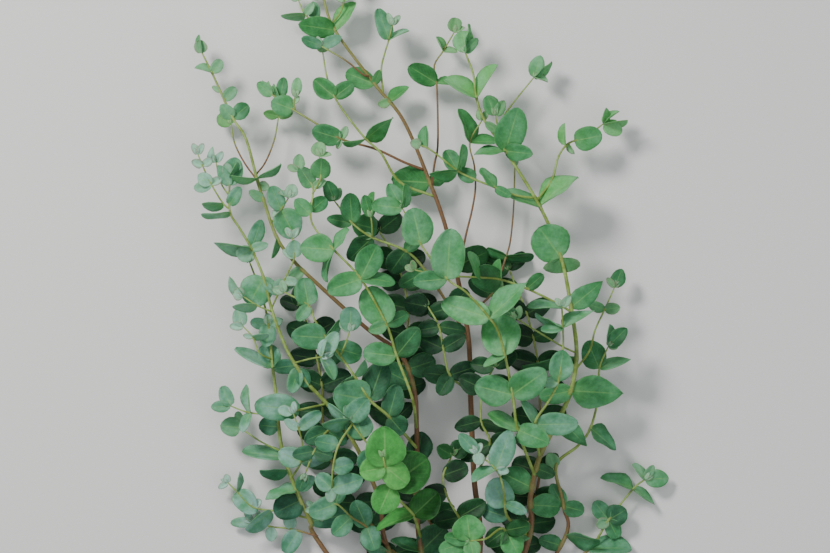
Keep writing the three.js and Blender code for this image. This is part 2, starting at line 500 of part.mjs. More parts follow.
function leafSolid(base, reach, width, turn, grow) {
  const length = reach.length();
  const thickness = LEAF_THICKNESS + 2 * grow;
  const plate = new THREE.ExtrudeGeometry(
    leafOutline(length, width, grow), { depth: thickness, bevelEnabled: false });
  plate.translate(0, 0, -thickness / 2);
  const along = reach.clone().normalize();
  const across = new THREE.Vector3(-reach.y, reach.x, 0).normalize().applyAxisAngle(along, turn);
  const up = new THREE.Vector3().crossVectors(along, across);
  plate.applyMatrix4(new THREE.Matrix4().makeBasis(along, across, up).setPosition(base));
  return toSolid(plate);
}

function withBox(solid) {
  return { solid, box: solid.boundingBox() };
}

// A leaf keeps its place seen from above, and lifts or dips until it clears what is around it.
function placeLeaf(base, [, reachX, reachY, seenWidth], count, strangers, kin) {
  const seenLength = Math.hypot(reachX, reachY);
  const fullWidth = ROUND_LEAF * seenLength;
  const onEdge = seenWidth < EDGE_ON * fullWidth;
  const turn = onEdge ? Math.min(Math.acos(seenWidth / fullWidth), STEEPEST_TURN) : 0;
  const width = onEdge ? seenWidth / Math.cos(turn) : seenWidth;
  const side = count % 2 ? 1 : -1;
  const restingLift = LIFT * Math.sin(count * WAVE);
  let best = { cost: Infinity };
  for (const step of LIFT_STEPS) {
    const reach = new THREE.Vector3(reachX, reachY, (restingLift + step) * seenLength);
    const plate = leafSolid(base, reach, width, side * turn, CLEARANCE);
    const box = plate.boundingBox();
    if (box.min[2] < LOWEST) continue;
    const cost = 1000 * sharedVolume(plate, box, strangers) + sharedVolume(plate, box, kin);
    if (cost < best.cost) best = { cost, reach };
    if (cost === 0) break;
  }
  if (best.cost > 1000) console.error("crowded leaf", base.toArray(), reachX, reachY);
  return leafSolid(base, best.reach, width, side * turn, 0);
}

// Growing the branch: first every stem, then the leaves, stem by stem
const grown = new Map();
grown.set(LIMB.name, { ...LIMB, route: routeOf(LIMB), leaves: [] });
for (const stem of STEMS) {
  const [parentName, place] = stem.on;
  grown.set(stem.name, { ...stem, route: routeOf(stem, pointOn(grown.get(parentName).route, place)) });
}
for (const stem of grown.values()) {
  stem.solid = stemSolid(stem.route, stem.thick);
  stem.wide = withBox(stemSolid(stem.route, stem.thick, CLEARANCE));
  if (stem.on) stem.solid = stem.solid.subtract(grown.get(stem.on[0]).wide.solid);
  stem.placed = [];
}
let count = 0;
for (const stem of grown.values()) {
  const others = [...grown.values()].filter((other) => other !== stem);
  for (const leaf of stem.leaves) {
    const strangers = others.flatMap((other) => [other.wide, ...other.placed]);
    const kin = stem.placed.filter((placed) => placed.at !== leaf[0]);
    const solid = placeLeaf(pointOn(stem.route, leaf[0]), leaf, count, strangers, kin);
    stem.placed.push({ ...withBox(solid), at: leaf[0] });
    count += 1;
  }
}

function joined(stem) {
  const solid = stem.placed.reduce((sum, leaf) => sum.add(leaf.solid), stem.solid);
  return solid.asOriginal().simplify(FLATNESS);
}

const solids = [...grown.values()].map((stem) => ({
  name: stem.name,
  colour: stem.thick[0] > 5 ? BROWN : stem.thick[0] > 2 ? GREEN : YOUNG_GREEN,
  solid: joined(stem),
}));

const whole = new THREE.Box3();
for (const { solid } of solids) {
  const { min, max } = solid.boundingBox();
  whole.expandByPoint(new THREE.Vector3(...min));
  whole.expandByPoint(new THREE.Vector3(...max));
}
const shift = whole.getCenter(new THREE.Vector3()).negate();
shift.z = -whole.min.z;

const group = new THREE.Group();
for (const { name, colour, solid } of solids) {
  const material = new THREE.MeshStandardMaterial({ color: colour, roughness: 0.6, metalness: 0 });
  const mesh = new THREE.Mesh(toGeometry(solid, shift), material);
  mesh.name = name;
  group.add(mesh);
}

export default group;
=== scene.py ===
import json
import math

import bmesh
import bpy
from mathutils import Matrix, Vector


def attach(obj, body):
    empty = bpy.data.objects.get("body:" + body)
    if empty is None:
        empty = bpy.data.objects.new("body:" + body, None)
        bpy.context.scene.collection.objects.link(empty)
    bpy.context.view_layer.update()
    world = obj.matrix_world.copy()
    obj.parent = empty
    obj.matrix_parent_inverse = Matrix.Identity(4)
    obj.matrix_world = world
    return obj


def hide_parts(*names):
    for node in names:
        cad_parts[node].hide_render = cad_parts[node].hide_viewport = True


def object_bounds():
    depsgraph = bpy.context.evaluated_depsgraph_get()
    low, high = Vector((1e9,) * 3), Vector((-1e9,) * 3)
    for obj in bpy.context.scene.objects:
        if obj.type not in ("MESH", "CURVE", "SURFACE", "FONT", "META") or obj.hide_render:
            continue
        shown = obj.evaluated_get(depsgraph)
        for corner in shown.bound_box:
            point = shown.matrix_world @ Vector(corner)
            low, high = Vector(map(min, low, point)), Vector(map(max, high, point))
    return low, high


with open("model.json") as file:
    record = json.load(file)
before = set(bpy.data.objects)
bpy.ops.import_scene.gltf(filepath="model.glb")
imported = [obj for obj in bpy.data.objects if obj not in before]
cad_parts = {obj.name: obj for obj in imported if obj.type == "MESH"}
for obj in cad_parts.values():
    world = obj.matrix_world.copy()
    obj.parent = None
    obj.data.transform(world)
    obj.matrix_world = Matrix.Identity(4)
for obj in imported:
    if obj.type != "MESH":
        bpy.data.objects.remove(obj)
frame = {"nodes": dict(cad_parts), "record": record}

cad_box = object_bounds()
scene = bpy.context.scene

MM = 0.001
UP = Vector((0, 0, 1))

# Growth constants shared with the CAD part
LIFT = 0.22  # height of a leaf's tip over its base, as a share of its length
WAVE = 2.4  # step of the slow wave that varies the lift of the leaves
LIFT_STEPS = (0, 0.12, -0.12, 0.24, -0.24, 0.36, -0.36, 0.5, -0.5, 0.65, -0.65, 0.8, -0.8)
ROUND_LEAF = 0.8  # full width of a leaf as a share of its length
EDGE_ON = 0.62  # a leaf narrower than this share of its full width is turned on its edge
STEEPEST_TURN = math.radians(70)

# Sizes of what Blender adds
STEM_SIDES = 10
STEM_STEP = 4.5 * MM  # the longest stretch between two rings of a stem
NODE_SWELL = 0.2  # how much a stem thickens where leaves join it
NODE_REACH = 2.2 * MM
TIP_SHARE = 0.6  # the last ring of a stem is drawn in to this share
LEAF_THICKNESS = 0.45 * MM
YOUNG_LENGTH = 10 * MM  # leaves shorter than this are young and pale
GROWN_LENGTH = 24 * MM  # leaves longer than this are full-grown
LARGE_LEAF = 22 * MM  # leaves longer than this get the finer grid
FINE_GRID, COARSE_GRID = (10, 6), (7, 4)
POINTED_OUTLINE = (0.68, 0.85)
BUD_OUTLINE = (0.7, 0.7)
BUD_LENGTH = 8 * MM
BUD_WIDTH = 4 * MM
BUD_SPREAD = 0.34  # how far the two leaflets of a bud lean apart
BUD_LIGHT = 0.1  # how much lighter a bud is than its stem's leaves
SIDE_LIGHT = 0.28  # how much lighter a leaf is that is turned on its edge
TONE_SPREAD = 0.1  # how far the leaves of one stem differ in light

# The growth table, in millimetres, as in the CAD part. Each stem starts on its parent at a numbered
# point of the parent's route, where 0 is the start of the parent, and passes through its own route
# points, numbered from 1. thick: diameter at the start and at the tip. heights: over the table, spread
# evenly along the route. leaves: (route point, reach in X, reach in Y, width across seen from above).
LIMB = dict(name="limb", thick=(17, 13), heights=(9.5, 16, 26), route=[(20, -200), (22, -160), (28, -122)])

STEMS = [
    dict(name="leader_tall", on=("limb", 1.95), thick=(6, 2), heights=(27, 34, 34, 28, 18),
        route=[(45, 0), (40, 66), (37, 133), (35, 191), (26, 243), (15, 291), (0, 334), (-24, 390),
            (-50, 423), (-86, 472), (-97, 503), (-104, 530)],
        leaves=[(5.3, 30, 14, 24), (7, -34, 2, 29), (7, 16, 8, 14), (8.5, -11, -3, 9), (8.5, 17, 14, 10),
            (9, -27, 11, 19), (9, 5, 13, 8), (10, -31, 4, 20), (10, 17, 26, 14), (11, -19, 9, 15),
            (11, 19, 11, 14), (12, -9, 14, 9), (12, 8, 15, 9)]),
    dict(name="tall_tip_right", on=("leader_tall", 10.2), thick=(2, 1.4), heights=(28, 32),
        route=[(-80, 490), (-75, 512)],
        leaves=[(1.4, -10, 6, 6), (1.4, 12, 4, 6), (2, -6, 11, 6), (2, 7, 10, 6)]),
    dict(name="tall_tip_left", on=("leader_tall", 10.15), thick=(2, 1.4), heights=(26, 26, 22),
        route=[(-103, 479), (-113, 486), (-119, 499)],
        leaves=[(1, -3, 19, 11), (2, -22, -3, 7), (2, 8, 10, 8), (3, -9, 8, 9), (3, 5, 11, 7)]),
    dict(name="tall_twig_left", on=("leader_tall", 9.15), thick=(2, 1.4), heights=(34, 36, 34),
        route=[(-60, 431), (-76, 444), (-98, 457)],
        leaves=[(3, -18, 7, 11), (3, 18, 9, 11), (3, -4, 9, 5)]),
    dict(name="tall_twig_right", on=("leader_tall", 8.7), thick=(2, 1.4), heights=(30, 36, 40),
        route=[(-44, 436), (-41, 450), (-37, 463), (-34, 476)],
        leaves=[(3, -10, 28, 15), (3, 18, 9, 6), (4, -4, 11, 6), (4, 7, 9, 6)]),
    dict(name="long_left_shoot", on=("leader_tall", 7.2), thick=(2.6, 1.5), heights=(36, 40, 36, 26),
        route=[(-23, 352), (-49, 364), (-80, 373), (-101, 386), (-124, 400), (-142, 413), (-149, 420)],
        leaves=[(3, -26, 8, 19), (3, 5, 12, 8), (3, -4, -9, 5), (5, -19, 7, 20), (5.6, 4, 21, 11),
            (5.6, -6, 15, 5), (6, -14, 11, 12), (6, -4, 13, 5)]),
    dict(name="long_left_twig", on=("long_left_shoot", 4.9), thick=(1.8, 1.4), heights=(38, 40),
        route=[(-123, 405), (-122, 411)],
        leaves=[(1, 5, 7, 5), (2, 3, 18, 10)]),
    dict(name="green_arc", on=("leader_tall", 6.7), thick=(2.6, 1.5), heights=(44, 48, 40, 26),
        route=[(-27, 334), (-44, 360), (-58, 373), (-75, 394), (-86, 411), (-93, 429), (-97, 452)],
        leaves=[(3, 24, 20, 13), (3, -20, -6, 5), (5, -19, 16, 18), (5, 17, 13, 15), (7, -6, 9, 6),
            (7, 6, 9, 6)]),
    dict(name="brown_mid_shoot", on=("leader_tall", 6.9), thick=(2.2, 1.4), heights=(40, 30, 22),
        route=[(4, 350), (7, 366), (7, 399), (6, 424), (4, 440), (12, 453), (22, 470)],
        leaves=[(4, -25, 15, 19), (4, 21, 1, 9), (6, -7, 13, 6), (6, 13, 0, 6), (7, 1, 14, 13),
            (7, 10, 4, 5)]),
    dict(name="brown_right_shoot", on=("leader_tall", 5.1), thick=(2.2, 1.4), heights=(42, 48, 40),
        route=[(32, 284), (38, 309), (41, 329), (40, 349), (36, 370), (47, 390)],
        leaves=[(5, -7, 31, 13), (5, 25, 1, 10), (6, 6, 10, 6), (6, -5, 10, 5)]),
    dict(name="brown_far_shoot", on=("leader_tall", 4.4), thick=(2.2, 1.4), heights=(26, 16),
        route=[(55, 232), (64, 252), (69, 267), (73, 282), (76, 314), (77, 349)],
        leaves=[(3, 25, 1, 9), (3, -18, 7, 9), (1, 22, 4, 12), (1, -20, 14, 14)]),
    dict(name="centre_back_shoot", on=("leader_tall", 4), thick=(3, 1.6), heights=(44, 62, 70, 72),
        route=[(18, 221), (-4, 254), (-22, 272), (-52, 284), (-70, 297), (-86, 317)],
        leaves=[(1, 16, 16, 18), (1, -20, -6, 18), (2, -24, -14, 15), (3, -14, -20, 21), (3, 13, 14, 13),
            (4, -21, -20, 21), (4, -9, 3, 7), (5, -2, 27, 19), (5, -23, 4, 12), (5, 24, -6, 24),
            (6, -7, 18, 14), (6, 6, 12, 8)]),
    dict(name="centre_back_twig", on=("centre_back_shoot", 4), thick=(1.8, 1.4), heights=(80, 82),
        route=[(-52, 294), (-53, 302)],
        leaves=[(2, -6, 20, 12), (2, 3, 23, 8)]),
    dict(name="leader_right", on=("limb", 1.3), thick=(5.6, 1.8), heights=(24, 46, 58, 56, 48, 38),
        route=[(86, 0), (91, 50), (99, 86), (115, 118), (127, 146), (132, 180), (127, 221), (118, 266),
            (99, 312), (68, 362), (49, 390), (42, 410), (39, 432), (32, 451)],
        leaves=[(1.8, 28, -2, 22), (1.2, -15, -7, 9), (2.2, -27, 13, 24), (2.7, 17, -7, 14),
            (4.1, 25, -25, 18), (5, 48, -3, 31), (5, -28, -6, 18), (5.9, -50, -7, 11), (7, 29, 24, 20),
            (8, -20, 27, 36), (8, 2, -14, 34), (9, 31, 30, 16), (9, -38, 14, 12), (10, 11, 38, 28),
            (10, -28, 0, 8), (10, 25, -3, 16), (12, -28, 19, 13), (12, 16, 31, 11), (14, -3, 20, 20),
            (14, 11, 13, 9), (14, 4, 26, 6)]),
    dict(name="right_tip_twig", on=("leader_right", 10.2), thick=(1.8, 1.4), heights=(56, 60),
        route=[(62, 378), (59, 394)],
        leaves=[(2, -8, 18, 15), (2, 8, 13, 10), (1, -12, 10, 8)]),
    dict(name="right_thin_shoot", on=("leader_right", 9.9), thick=(2, 1.4), heights=(34, 32, 28),
        route=[(66, 388), (71, 400), (94, 429)],
        leaves=[(3, 6, 20, 15), (3, 13, -3, 5), (3, 16, 15, 6)]),
    dict(name="right_upper_shoot", on=("leader_right", 9.1), thick=(2.4, 1.5), heights=(44, 38, 30),
        route=[(110, 336), (116, 357), (125, 369), (140, 375), (157, 387)],
        leaves=[(2.8, -3, 20, 6), (3, 5, -10, 5), (3.4, 25, 5, 22), (5, 4, 14, 7), (5, 17, -8, 15),
            (5, 22, 3, 6), (5, 13, 13, 5)]),
    dict(name="right_to_centre", on=("leader_right", 9.15), thick=(2.4, 1.5), heights=(58, 58, 56),
        route=[(77, 322), (59, 329), (41, 336), (25, 344), (2, 362), (-8, 367)],
        leaves=[(2, -14, 17, 10), (2, 13, -8, 9), (3, -16, 9, 14), (4, -26, -2, 11), (4, 7, 23, 8),
            (4, -11, 19, 15), (6, -10, 3, 10), (5.4, -3, 20, 10)]),
    dict(name="right_low_to_left", on=("leader_right", 6.9), thick=(2.4, 1.5), heights=(64, 74, 78),
        route=[(112, 226), (87, 238), (64, 246), (45, 248), (23, 249), (5, 250), (-14, 255)],
        leaves=[(2, 15, 13, 12), (3, -2, 19, 8), (3, -5, -11, 8), (3, -27, 3, 25), (4, -9, 22, 8),
            (7, -9, 3, 7), (7, -2, 9, 6)]),
    dict(name="right_inner_twig", on=("leader_right", 6), thick=(1.9, 1.4), heights=(62, 66, 68),
        route=[(119, 186), (94, 201), (78, 211)],
        leaves=[(3, -16, 12, 13), (3, 3, 12, 8)]),
    dict(name="right_front_shoot", on=("leader_right", 3), thick=(2.6, 1.5), heights=(76, 88, 92),
        route=[(94, 116), (105, 135), (115, 155), (119, 185), (119, 203), (118, 222)],
        leaves=[(1, 39, 1, 21), (1, -9, 23, 10), (3, 4, 28, 22), (3, -15, -2, 11), (5, -26, 10, 7),
            (5, -20, -3, 9), (5, 27, 18, 10), (5.9, -30, 4, 8), (6, 8, 10, 8), (6, -6, 8, 6)]),
    dict(name="centre_front_shoot", on=("leader_right", 2.5), thick=(3, 1.5),
        heights=(70, 90, 106, 116, 116, 108),
        route=[(79, 111), (74, 143), (67, 178), (61, 199), (53, 212), (32, 235), (15, 247), (-8, 277),
            (-14, 291), (-25, 310)],
        leaves=[(1, 27, -11, 22), (1, -27, 15, 13), (2, -34, 8, 28), (2, 30, 22, 28), (3, -8, 37, 36),
            (3, -20, -8, 7), (5, 35, 31, 20), (5, -43, 14, 24), (7, 3, 44, 31), (7, -30, -3, 18),
            (8, -8, 33, 29), (10, -27, 3, 17), (10, -12, 22, 15), (10, 5, 21, 8)]),
    dict(name="leader_left", on=("limb", 1.5), thick=(5.2, 1.7), heights=(28, 44, 56, 56, 50, 40, 30),
        route=[(-8, 0), (-11, 66), (-12, 112), (-14, 145), (-26, 178), (-58, 203), (-100, 241),
            (-122, 262), (-138, 284), (-150, 318), (-156, 337), (-166, 373), (-178, 392), (-190, 418),
            (-197, 433), (-206, 451)],
        leaves=[(1, 22, 22, 27), (1, -27, 12, 10), (2.3, 4, 27, 24), (4.2, -36, 18, 22), (4.6, 24, 8, 22),
            (7.6, -13, -7, 12), (9, -5, -19, 5), (10, -13, 8, 9), (10.8, 10, -4, 9), (11, 22, 12, 5),
            (11, -22, -1, 6), (13, 14, 12, 15), (13, -11, 12, 13), (13.6, 10, 12, 11), (13.9, -8, 5, 5),
            (15, -15, 6, 6), (15, 9, 12, 11), (16, -3, 12, 12), (16, -5, 16, 5)]),
    dict(name="left_inner_twig", on=("leader_left", 9.4), thick=(1.8, 1.4), heights=(64, 66),
        route=[(-134, 309), (-127, 320)],
        leaves=[(1, 13, -25, 26), (1, -9, 21, 16), (1, -8, -7, 5), (2, 5, 12, 12), (2, -9, 5, 5)]),
    dict(name="left_side_shoot", on=("leader_left", 10.9), thick=(1.8, 1.4), heights=(26, 22, 20),
        route=[(-168, 352), (-177, 370), (-180, 387)],
        leaves=[(3, -13, 8, 14)]),
    dict(name="left_cross_shoot", on=("leader_left", 11.1), thick=(1.8, 1.4), heights=(30, 26, 22),
        route=[(-149, 352), (-141, 372), (-137, 394)],
        leaves=[(3, -14, 3, 9), (3, 13, 4, 9)]),
    dict(name="centre_left_shoot", on=("leader_left", 3), thick=(2.9, 1.5),
        heights=(84, 98, 108, 112, 100, 90),
        route=[(-16, 140), (-30, 178), (-39, 206), (-62, 247), (-86, 273), (-106, 298), (-105, 329),
            (-118, 344)],
        leaves=[(2, -30, 3, 21), (2, 20, 25, 22), (3, 20, 10, 13), (3, -18, 33, 30), (3, -16, -6, 12),
            (4, 15, 31, 24), (4, -30, -11, 22), (4, 31, -1, 13), (5, -30, 2, 26), (5, 14, 18, 9),
            (5, -10, -28, 8), (6.2, -14, 14, 15), (6.3, 14, 12, 14), (7, -12, 18, 15), (7, 12, 6, 8),
            (8, 1, 15, 11), (8, -10, 4, 7)]),
    dict(name="centre_left_twig", on=("centre_left_shoot", 6.8), thick=(1.8, 1.4), heights=(104, 104),
        route=[(-98, 336), (-99, 356)],
        leaves=[(1, 1, 19, 19), (2, -1, 14, 14), (2, 11, 2, 5)]),
    dict(name="left_back_shoot", on=("leader_left", 2.6), thick=(3, 1.6), heights=(70, 82, 84, 76),
        route=[(-37, 123), (-54, 138), (-68, 160), (-86, 185), (-93, 194), (-104, 211), (-109, 223),
            (-131, 235)],
        leaves=[(1, 8, 29, 20), (1, 14, -16, 22), (2, -33, 6, 33), (2, 12, 34, 26), (3, 11, 13, 8),
            (3, -15, -11, 7), (4, 25, -7, 21), (5, -31, 2, 24), (5, 13, 17, 8), (7, -5, 25, 21),
            (7, -10, -14, 12), (8, -11, 3, 8), (8, -2, 11, 7)]),
    dict(name="left_back_twig", on=("left_back_shoot", 3.7), thick=(1.8, 1.4), heights=(94, 96),
        route=[(-76, 188), (-72, 200)],
        leaves=[(2, 1, 22, 20), (2, -9, 9, 8)]),
    dict(name="leader_left_low", on=("leader_left", 0.25), thick=(4.6, 1.7),
        heights=(22, 36, 50, 52, 52, 46),
        route=[(-37, 0), (-45, 44), (-61, 84), (-77, 112), (-93, 134), (-109, 151), (-119, 166),
            (-129, 183), (-142, 217), (-150, 248), (-161, 274), (-172, 293), (-180, 306), (-181, 325),
            (-180, 339)],
        leaves=[(1, -26, 8, 10), (7, -6, -22, 14), (7, 9, -17, 14), (7.2, -20, -3, 14), (10, -13, -24, 30),
            (10, 14, -16, 11), (11, -34, 5, 11), (11, -12, -9, 16), (11, 15, 4, 9), (11, 9, 26, 14),
            (13, -26, -3, 6), (13.4, 10, 16, 12), (14.4, 6, 25, 19), (14.4, -10, 18, 11), (15, -5, 12, 10),
            (15, 6, 13, 5)]),
    dict(name="pale_cross_twig", on=("leader_left_low", 7.3), thick=(1.8, 1.4), heights=(84, 96),
        route=[(-108, 175), (-97, 177)],
        leaves=[(2, 13, -19, 11), (2, 14, 22, 14), (2, 4, 16, 7), (2, 11, 3, 6)]),
    dict(name="left_low_side", on=("leader_left_low", 9), thick=(1.8, 1.4), heights=(58, 60),
        route=[(-156, 223), (-168, 231)],
        leaves=[(1, -22, -1, 8), (2, -9, 5, 12), (2, -14, 17, 9)]),
    dict(name="left_low_riser", on=("leader_left_low", 9.1), thick=(1.8, 1.4), heights=(62, 68, 68),
        route=[(-131, 246), (-122, 266), (-124, 284)],
        leaves=[(0.6, 14, 7, 8), (1, 13, -3, 9), (1, -8, -13, 14), (2, 0, 16, 15), (2, -11, 7, 7),
            (3, -6, 9, 6), (3, 6, 9, 6)]),
    dict(name="fan_left", on=("leader_left_low", 13.2), thick=(1.8, 1.4), heights=(50, 54, 54),
        route=[(-186, 314), (-197, 332), (-205, 349), (-209, 359)],
        leaves=[(1, -20, -2, 9), (2, -16, -4, 11), (2, -12, 9, 13), (2, 9, 6, 8), (3, -10, 4, 8),
            (3, 9, 6, 8), (4, -5, 10, 7), (4, 5, 10, 6)]),
    dict(name="fan_mid", on=("leader_left_low", 13.8), thick=(1.6, 1.3), heights=(42, 42),
        route=[(-189, 334), (-193, 352)],
        leaves=[(2, -5, 14, 7), (2, 6, 10, 7)]),
    dict(name="leader_far_left", on=("limb", 1.05), thick=(4.8, 1.7), heights=(16, 30, 34, 34, 34),
        route=[(-95, 0), (-108, 27), (-121, 56), (-134, 94), (-139, 141), (-142, 166), (-146, 205),
            (-152, 232), (-163, 262)],
        leaves=[(2, 35, 7, 19), (2.7, -24, -12, 26), (3, 17, 12, 13), (3, -28, -6, 9), (3.5, -26, -2, 10),
            (3.8, -38, 4, 13), (4.4, -19, 1, 17), (6, -34, 18, 11), (6, -7, 22, 21), (6, 22, 3, 13),
            (7, -2, -20, 16), (7, -17, 3, 11), (7, 13, 5, 10), (7, -1, 11, 8), (8, -14, 4, 9),
            (9, -7, 9, 7), (9, 4, 10, 6)]),
    dict(name="far_left_twig", on=("leader_far_left", 6.2), thick=(1.8, 1.4), heights=(42, 40, 36),
        route=[(-154, 180), (-160, 194), (-169, 204)],
        leaves=[(2, 14, 1, 6), (2, -9, 2, 5), (3, -6, 16, 14), (3, -12, 0, 8)]),
    dict(name="left_reaching_shoot", on=("leader_left_low", 5), thick=(2, 1.4), heights=(58, 58, 50, 40),
        route=[(-117, 129), (-135, 125), (-162, 126), (-180, 132)],
        leaves=[(1, -41, 4, 25), (3, -6, 25, 8), (3, -8, -17, 9), (4, -8, 18, 13), (4, -18, -1, 11)]),
    dict(name="left_low_twig", on=("leader_far_left", 3.9), thick=(1.8, 1.4), heights=(30, 24),
        route=[(-152, 99), (-172, 112)],
        leaves=[(2, -18, 2, 18), (2, -2, 15, 9)]),
    dict(name="left_front_shoot", on=("leader_far_left", 3.3), thick=(2.2, 1.4), heights=(54, 64, 66),
        route=[(-116, 82), (-115, 98), (-118, 112), (-123, 126)],
        leaves=[(1, -20, 9, 20), (1, 24, 5, 14), (3, 20, 15, 13), (3, -13, 8, 9), (4, -14, 4, 10),
            (4, 1, 11, 6)]),
    dict(name="low_left_shoot", on=("leader_far_left", 2.1), thick=(2, 1.4), heights=(24, 20, 16),
        route=[(-136, 36), (-160, 40), (-175, 54), (-183, 62)],
        leaves=[(1.3, -22, -19, 14), (2, 7, 7, 8), (3, 17, -19, 20), (3, 3, 18, 5), (4, -2, 8, 7),
            (4, -9, -5, 6)]),
    dict(name="lowest_left_shoot", on=("leader_far_left", 1.5), thick=(2, 1.4), heights=(14, 12),
        route=[(-126, 20), (-144, 22), (-161, 27)],
        leaves=[(0.7, -13, -20, 17), (1, -2, 15, 12), (2, 0, -14, 11), (3, -20, -2, 10), (3, -7, 9, 6),
            (3, 7, 9, 5)]),
    dict(name="front_bright_shoot", on=("leader_left", 1.2), thick=(3, 1.8), heights=(66, 90, 108, 114),
        route=[(-15, 34), (-27, 48), (-35, 62), (-40, 79), (-42, 88)],
        leaves=[(1, 22, 21, 27), (1, -34, -9, 11), (3, 33, 24, 38), (3, -11, -25, 26), (4, 20, -16, 25),
            (4, -23, -5, 22), (4, -1, 36, 37)]),
    dict(name="front_left_shoot", on=("leader_left", 2.1), thick=(2.6, 1.5), heights=(74, 84, 88, 88),
        route=[(-35, 84), (-50, 93), (-60, 104), (-72, 120)],
        leaves=[(2, -14, -16, 16), (3, -8, 24, 25), (4, 16, -19, 19), (4, -24, -4, 10), (4, 16, 20, 20),
            (4, -21, 13, 9), (4, -4, 14, 8)]),
    dict(name="drooping_shoot", on=("front_left_shoot", 3.8), thick=(2.2, 1.6), heights=(98, 96, 84),
        route=[(-82, 98), (-87, 77), (-88, 59)],
        leaves=[(1, -21, 4, 16), (2, 19, 5, 16), (3, 28, 9, 20), (3, -14, 12, 16), (3, -2, -13, 10)]),
    dict(name="inner_left_shoot", on=("leader_left_low", 4), thick=(2.2, 1.6), heights=(64, 68),
        route=[(-92, 110), (-104, 92), (-112, 72)],
        leaves=[(1, -21, -9, 17), (1, 17, -12, 14), (2, 17, -5, 15), (2, -20, -4, 14), (3, -6, -17, 12)]),
    dict(name="low_centre_left", on=("leader_left_low", 1.1), thick=(2.2, 1.5), heights=(48, 52, 46),
        route=[(-57, 23), (-71, 32), (-85, 44), (-100, 38)],
        leaves=[(1, 8, -21, 19), (1, -11, 24, 20), (2, -17, -16, 18), (3, -24, -9, 20), (3, 6, 20, 14),
            (4, -13, 0, 8), (4, -11, 9, 7), (4, 2, 11, 6), (4, 3, -10, 8)]),
    dict(name="right_low_front", on=("leader_right", 1.3), thick=(2.6, 1.5), heights=(58, 84, 88),
        route=[(70, 32), (67, 48), (65, 62), (59, 76), (42, 91)],
        leaves=[(1, -24, 8, 18), (1.6, -11, 25, 26), (1.8, 20, -8, 11), (4, 13, 35, 22), (4, -22, -9, 9),
            (4, 12, -2, 8), (5, -16, 17, 13), (5, 3, -11, 11), (5, 4, 9, 6)]),
    dict(name="lowest_front", on=("leader_right", 0.8), thick=(2.4, 1.6), heights=(50, 66, 64),
        route=[(68, 20), (50, 13), (36, 11)],
        leaves=[(1, 12, -22, 22), (1, -18, -13, 18), (1, 22, 5, 16), (3, -3, 23, 30), (3, -28, -9, 18),
            (3, -23, 4, 12), (3, 4, -17, 16)]),
    dict(name="leader_far_right", on=("leader_right", 0.3), thick=(4, 1.5), heights=(16, 28, 40, 44),
        route=[(119, 5), (121, 41), (114, 77), (134, 96), (145, 112), (152, 140), (153, 166), (161, 186)],
        leaves=[(1.15, 31, -4, 14), (1, -20, 6, 15), (2, 19, -5, 16), (2, -11, 20, 15), (3, -7, 12, 13),
            (5, 23, -20, 15), (7, -11, 25, 23), (7, 27, 11, 10), (8, 1, 20, 9), (8, 16, 16, 14),
            (8, 9, -1, 6)]),
    dict(name="far_right_back", on=("leader_right", 5.5), thick=(2.2, 1.4), heights=(44, 34, 26),
        route=[(144, 182), (149, 200), (158, 219), (167, 239)],
        leaves=[(3, -15, 5, 10), (3, 14, 2, 11), (4, 7, 17, 14), (4, -7, 9, 6)]),
    dict(name="lowest_right_shoot", on=("leader_far_right", 0.5), thick=(3, 1.6), heights=(12, 14, 16),
        route=[(144, 1), (153, 13), (162, 28), (184, 56), (195, 65)],
        leaves=[(1, 38, 5, 16), (3, -13, 17, 16), (3, 16, 10, 21), (3, 9, -17, 15), (3, -11, -6, 11),
            (4, -28, 13, 10), (4, 21, -13, 8), (5, -12, 14, 8), (5, 22, 1, 17), (5, 8, 13, 8)]),
    dict(name="inner_low_shoot", on=("leader_tall", 1), thick=(2.4, 1.6), heights=(52, 60, 60),
        route=[(26, 32), (15, 52), (12, 70), (20, 88)],
        leaves=[(1, 24, 14, 20), (1, -22, -5, 18), (2, -22, 4, 18), (3, 22, 8, 20), (4, 14, 12, 18),
            (4, -14, 8, 14)]),
    dict(name="inner_right_shoot", on=("leader_tall", 2), thick=(2.4, 1.6), heights=(56, 62, 64),
        route=[(54, 98), (46, 119), (48, 148), (58, 168)],
        leaves=[(1, 24, 2, 20), (1, -28, -12, 20), (2, -24, -6, 15), (2, 30, -12, 12), (3, 26, 6, 20),
            (3, -22, 10, 20), (4, -22, 2, 16), (4, 20, 12, 14)]),
    dict(name="inner_upper_shoot", on=("leader_tall", 3.2), thick=(2.4, 1.6), heights=(58, 66, 64),
        route=[(18, 160), (12, 184), (8, 204), (-2, 222)],
        leaves=[(1, 24, 8, 18), (1, -24, 2, 18), (1, -10, -18, 16), (2, -22, 10, 20), (2, 20, 12, 16),
            (3, 24, -4, 14), (3, -20, -4, 16), (4, -22, 4, 21)]),
    dict(name="back_left_shoot", on=("limb", 0.4), thick=(3.4, 1.6), heights=(13, 9, 8, 9, 10, 11, 11),
        route=[(-10, -40), (-52, 22), (-80, 62), (-96, 104), (-98, 150), (-108, 196), (-118, 222)],
        leaves=[(1.5, 24, 8, 20), (1.5, -26, 4, 20), (2, -26, 10, 20), (2, 24, 14, 20), (2.5, -24, 2, 19),
            (2.5, 24, 2, 19), (3, 22, 10, 21), (3, -26, -6, 21), (3.5, 24, 2, 19), (3.5, -25, 0, 19),
            (4, -24, 8, 21), (4, 25, 6, 21), (4.5, 24, 8, 20), (4.5, -24, 0, 18), (5, 26, 10, 22),
            (5, -24, 10, 20), (5.5, 24, 6, 19), (5.5, -24, 4, 19), (6, 22, 12, 20), (6, -22, 8, 20),
            (7, 2, 22, 17), (7, -18, 6, 14)]),
    dict(name="back_middle_shoot", on=("leader_tall", 0.4), thick=(3.2, 1.6),
        heights=(14, 9, 8, 8, 9, 10, 12, 12),
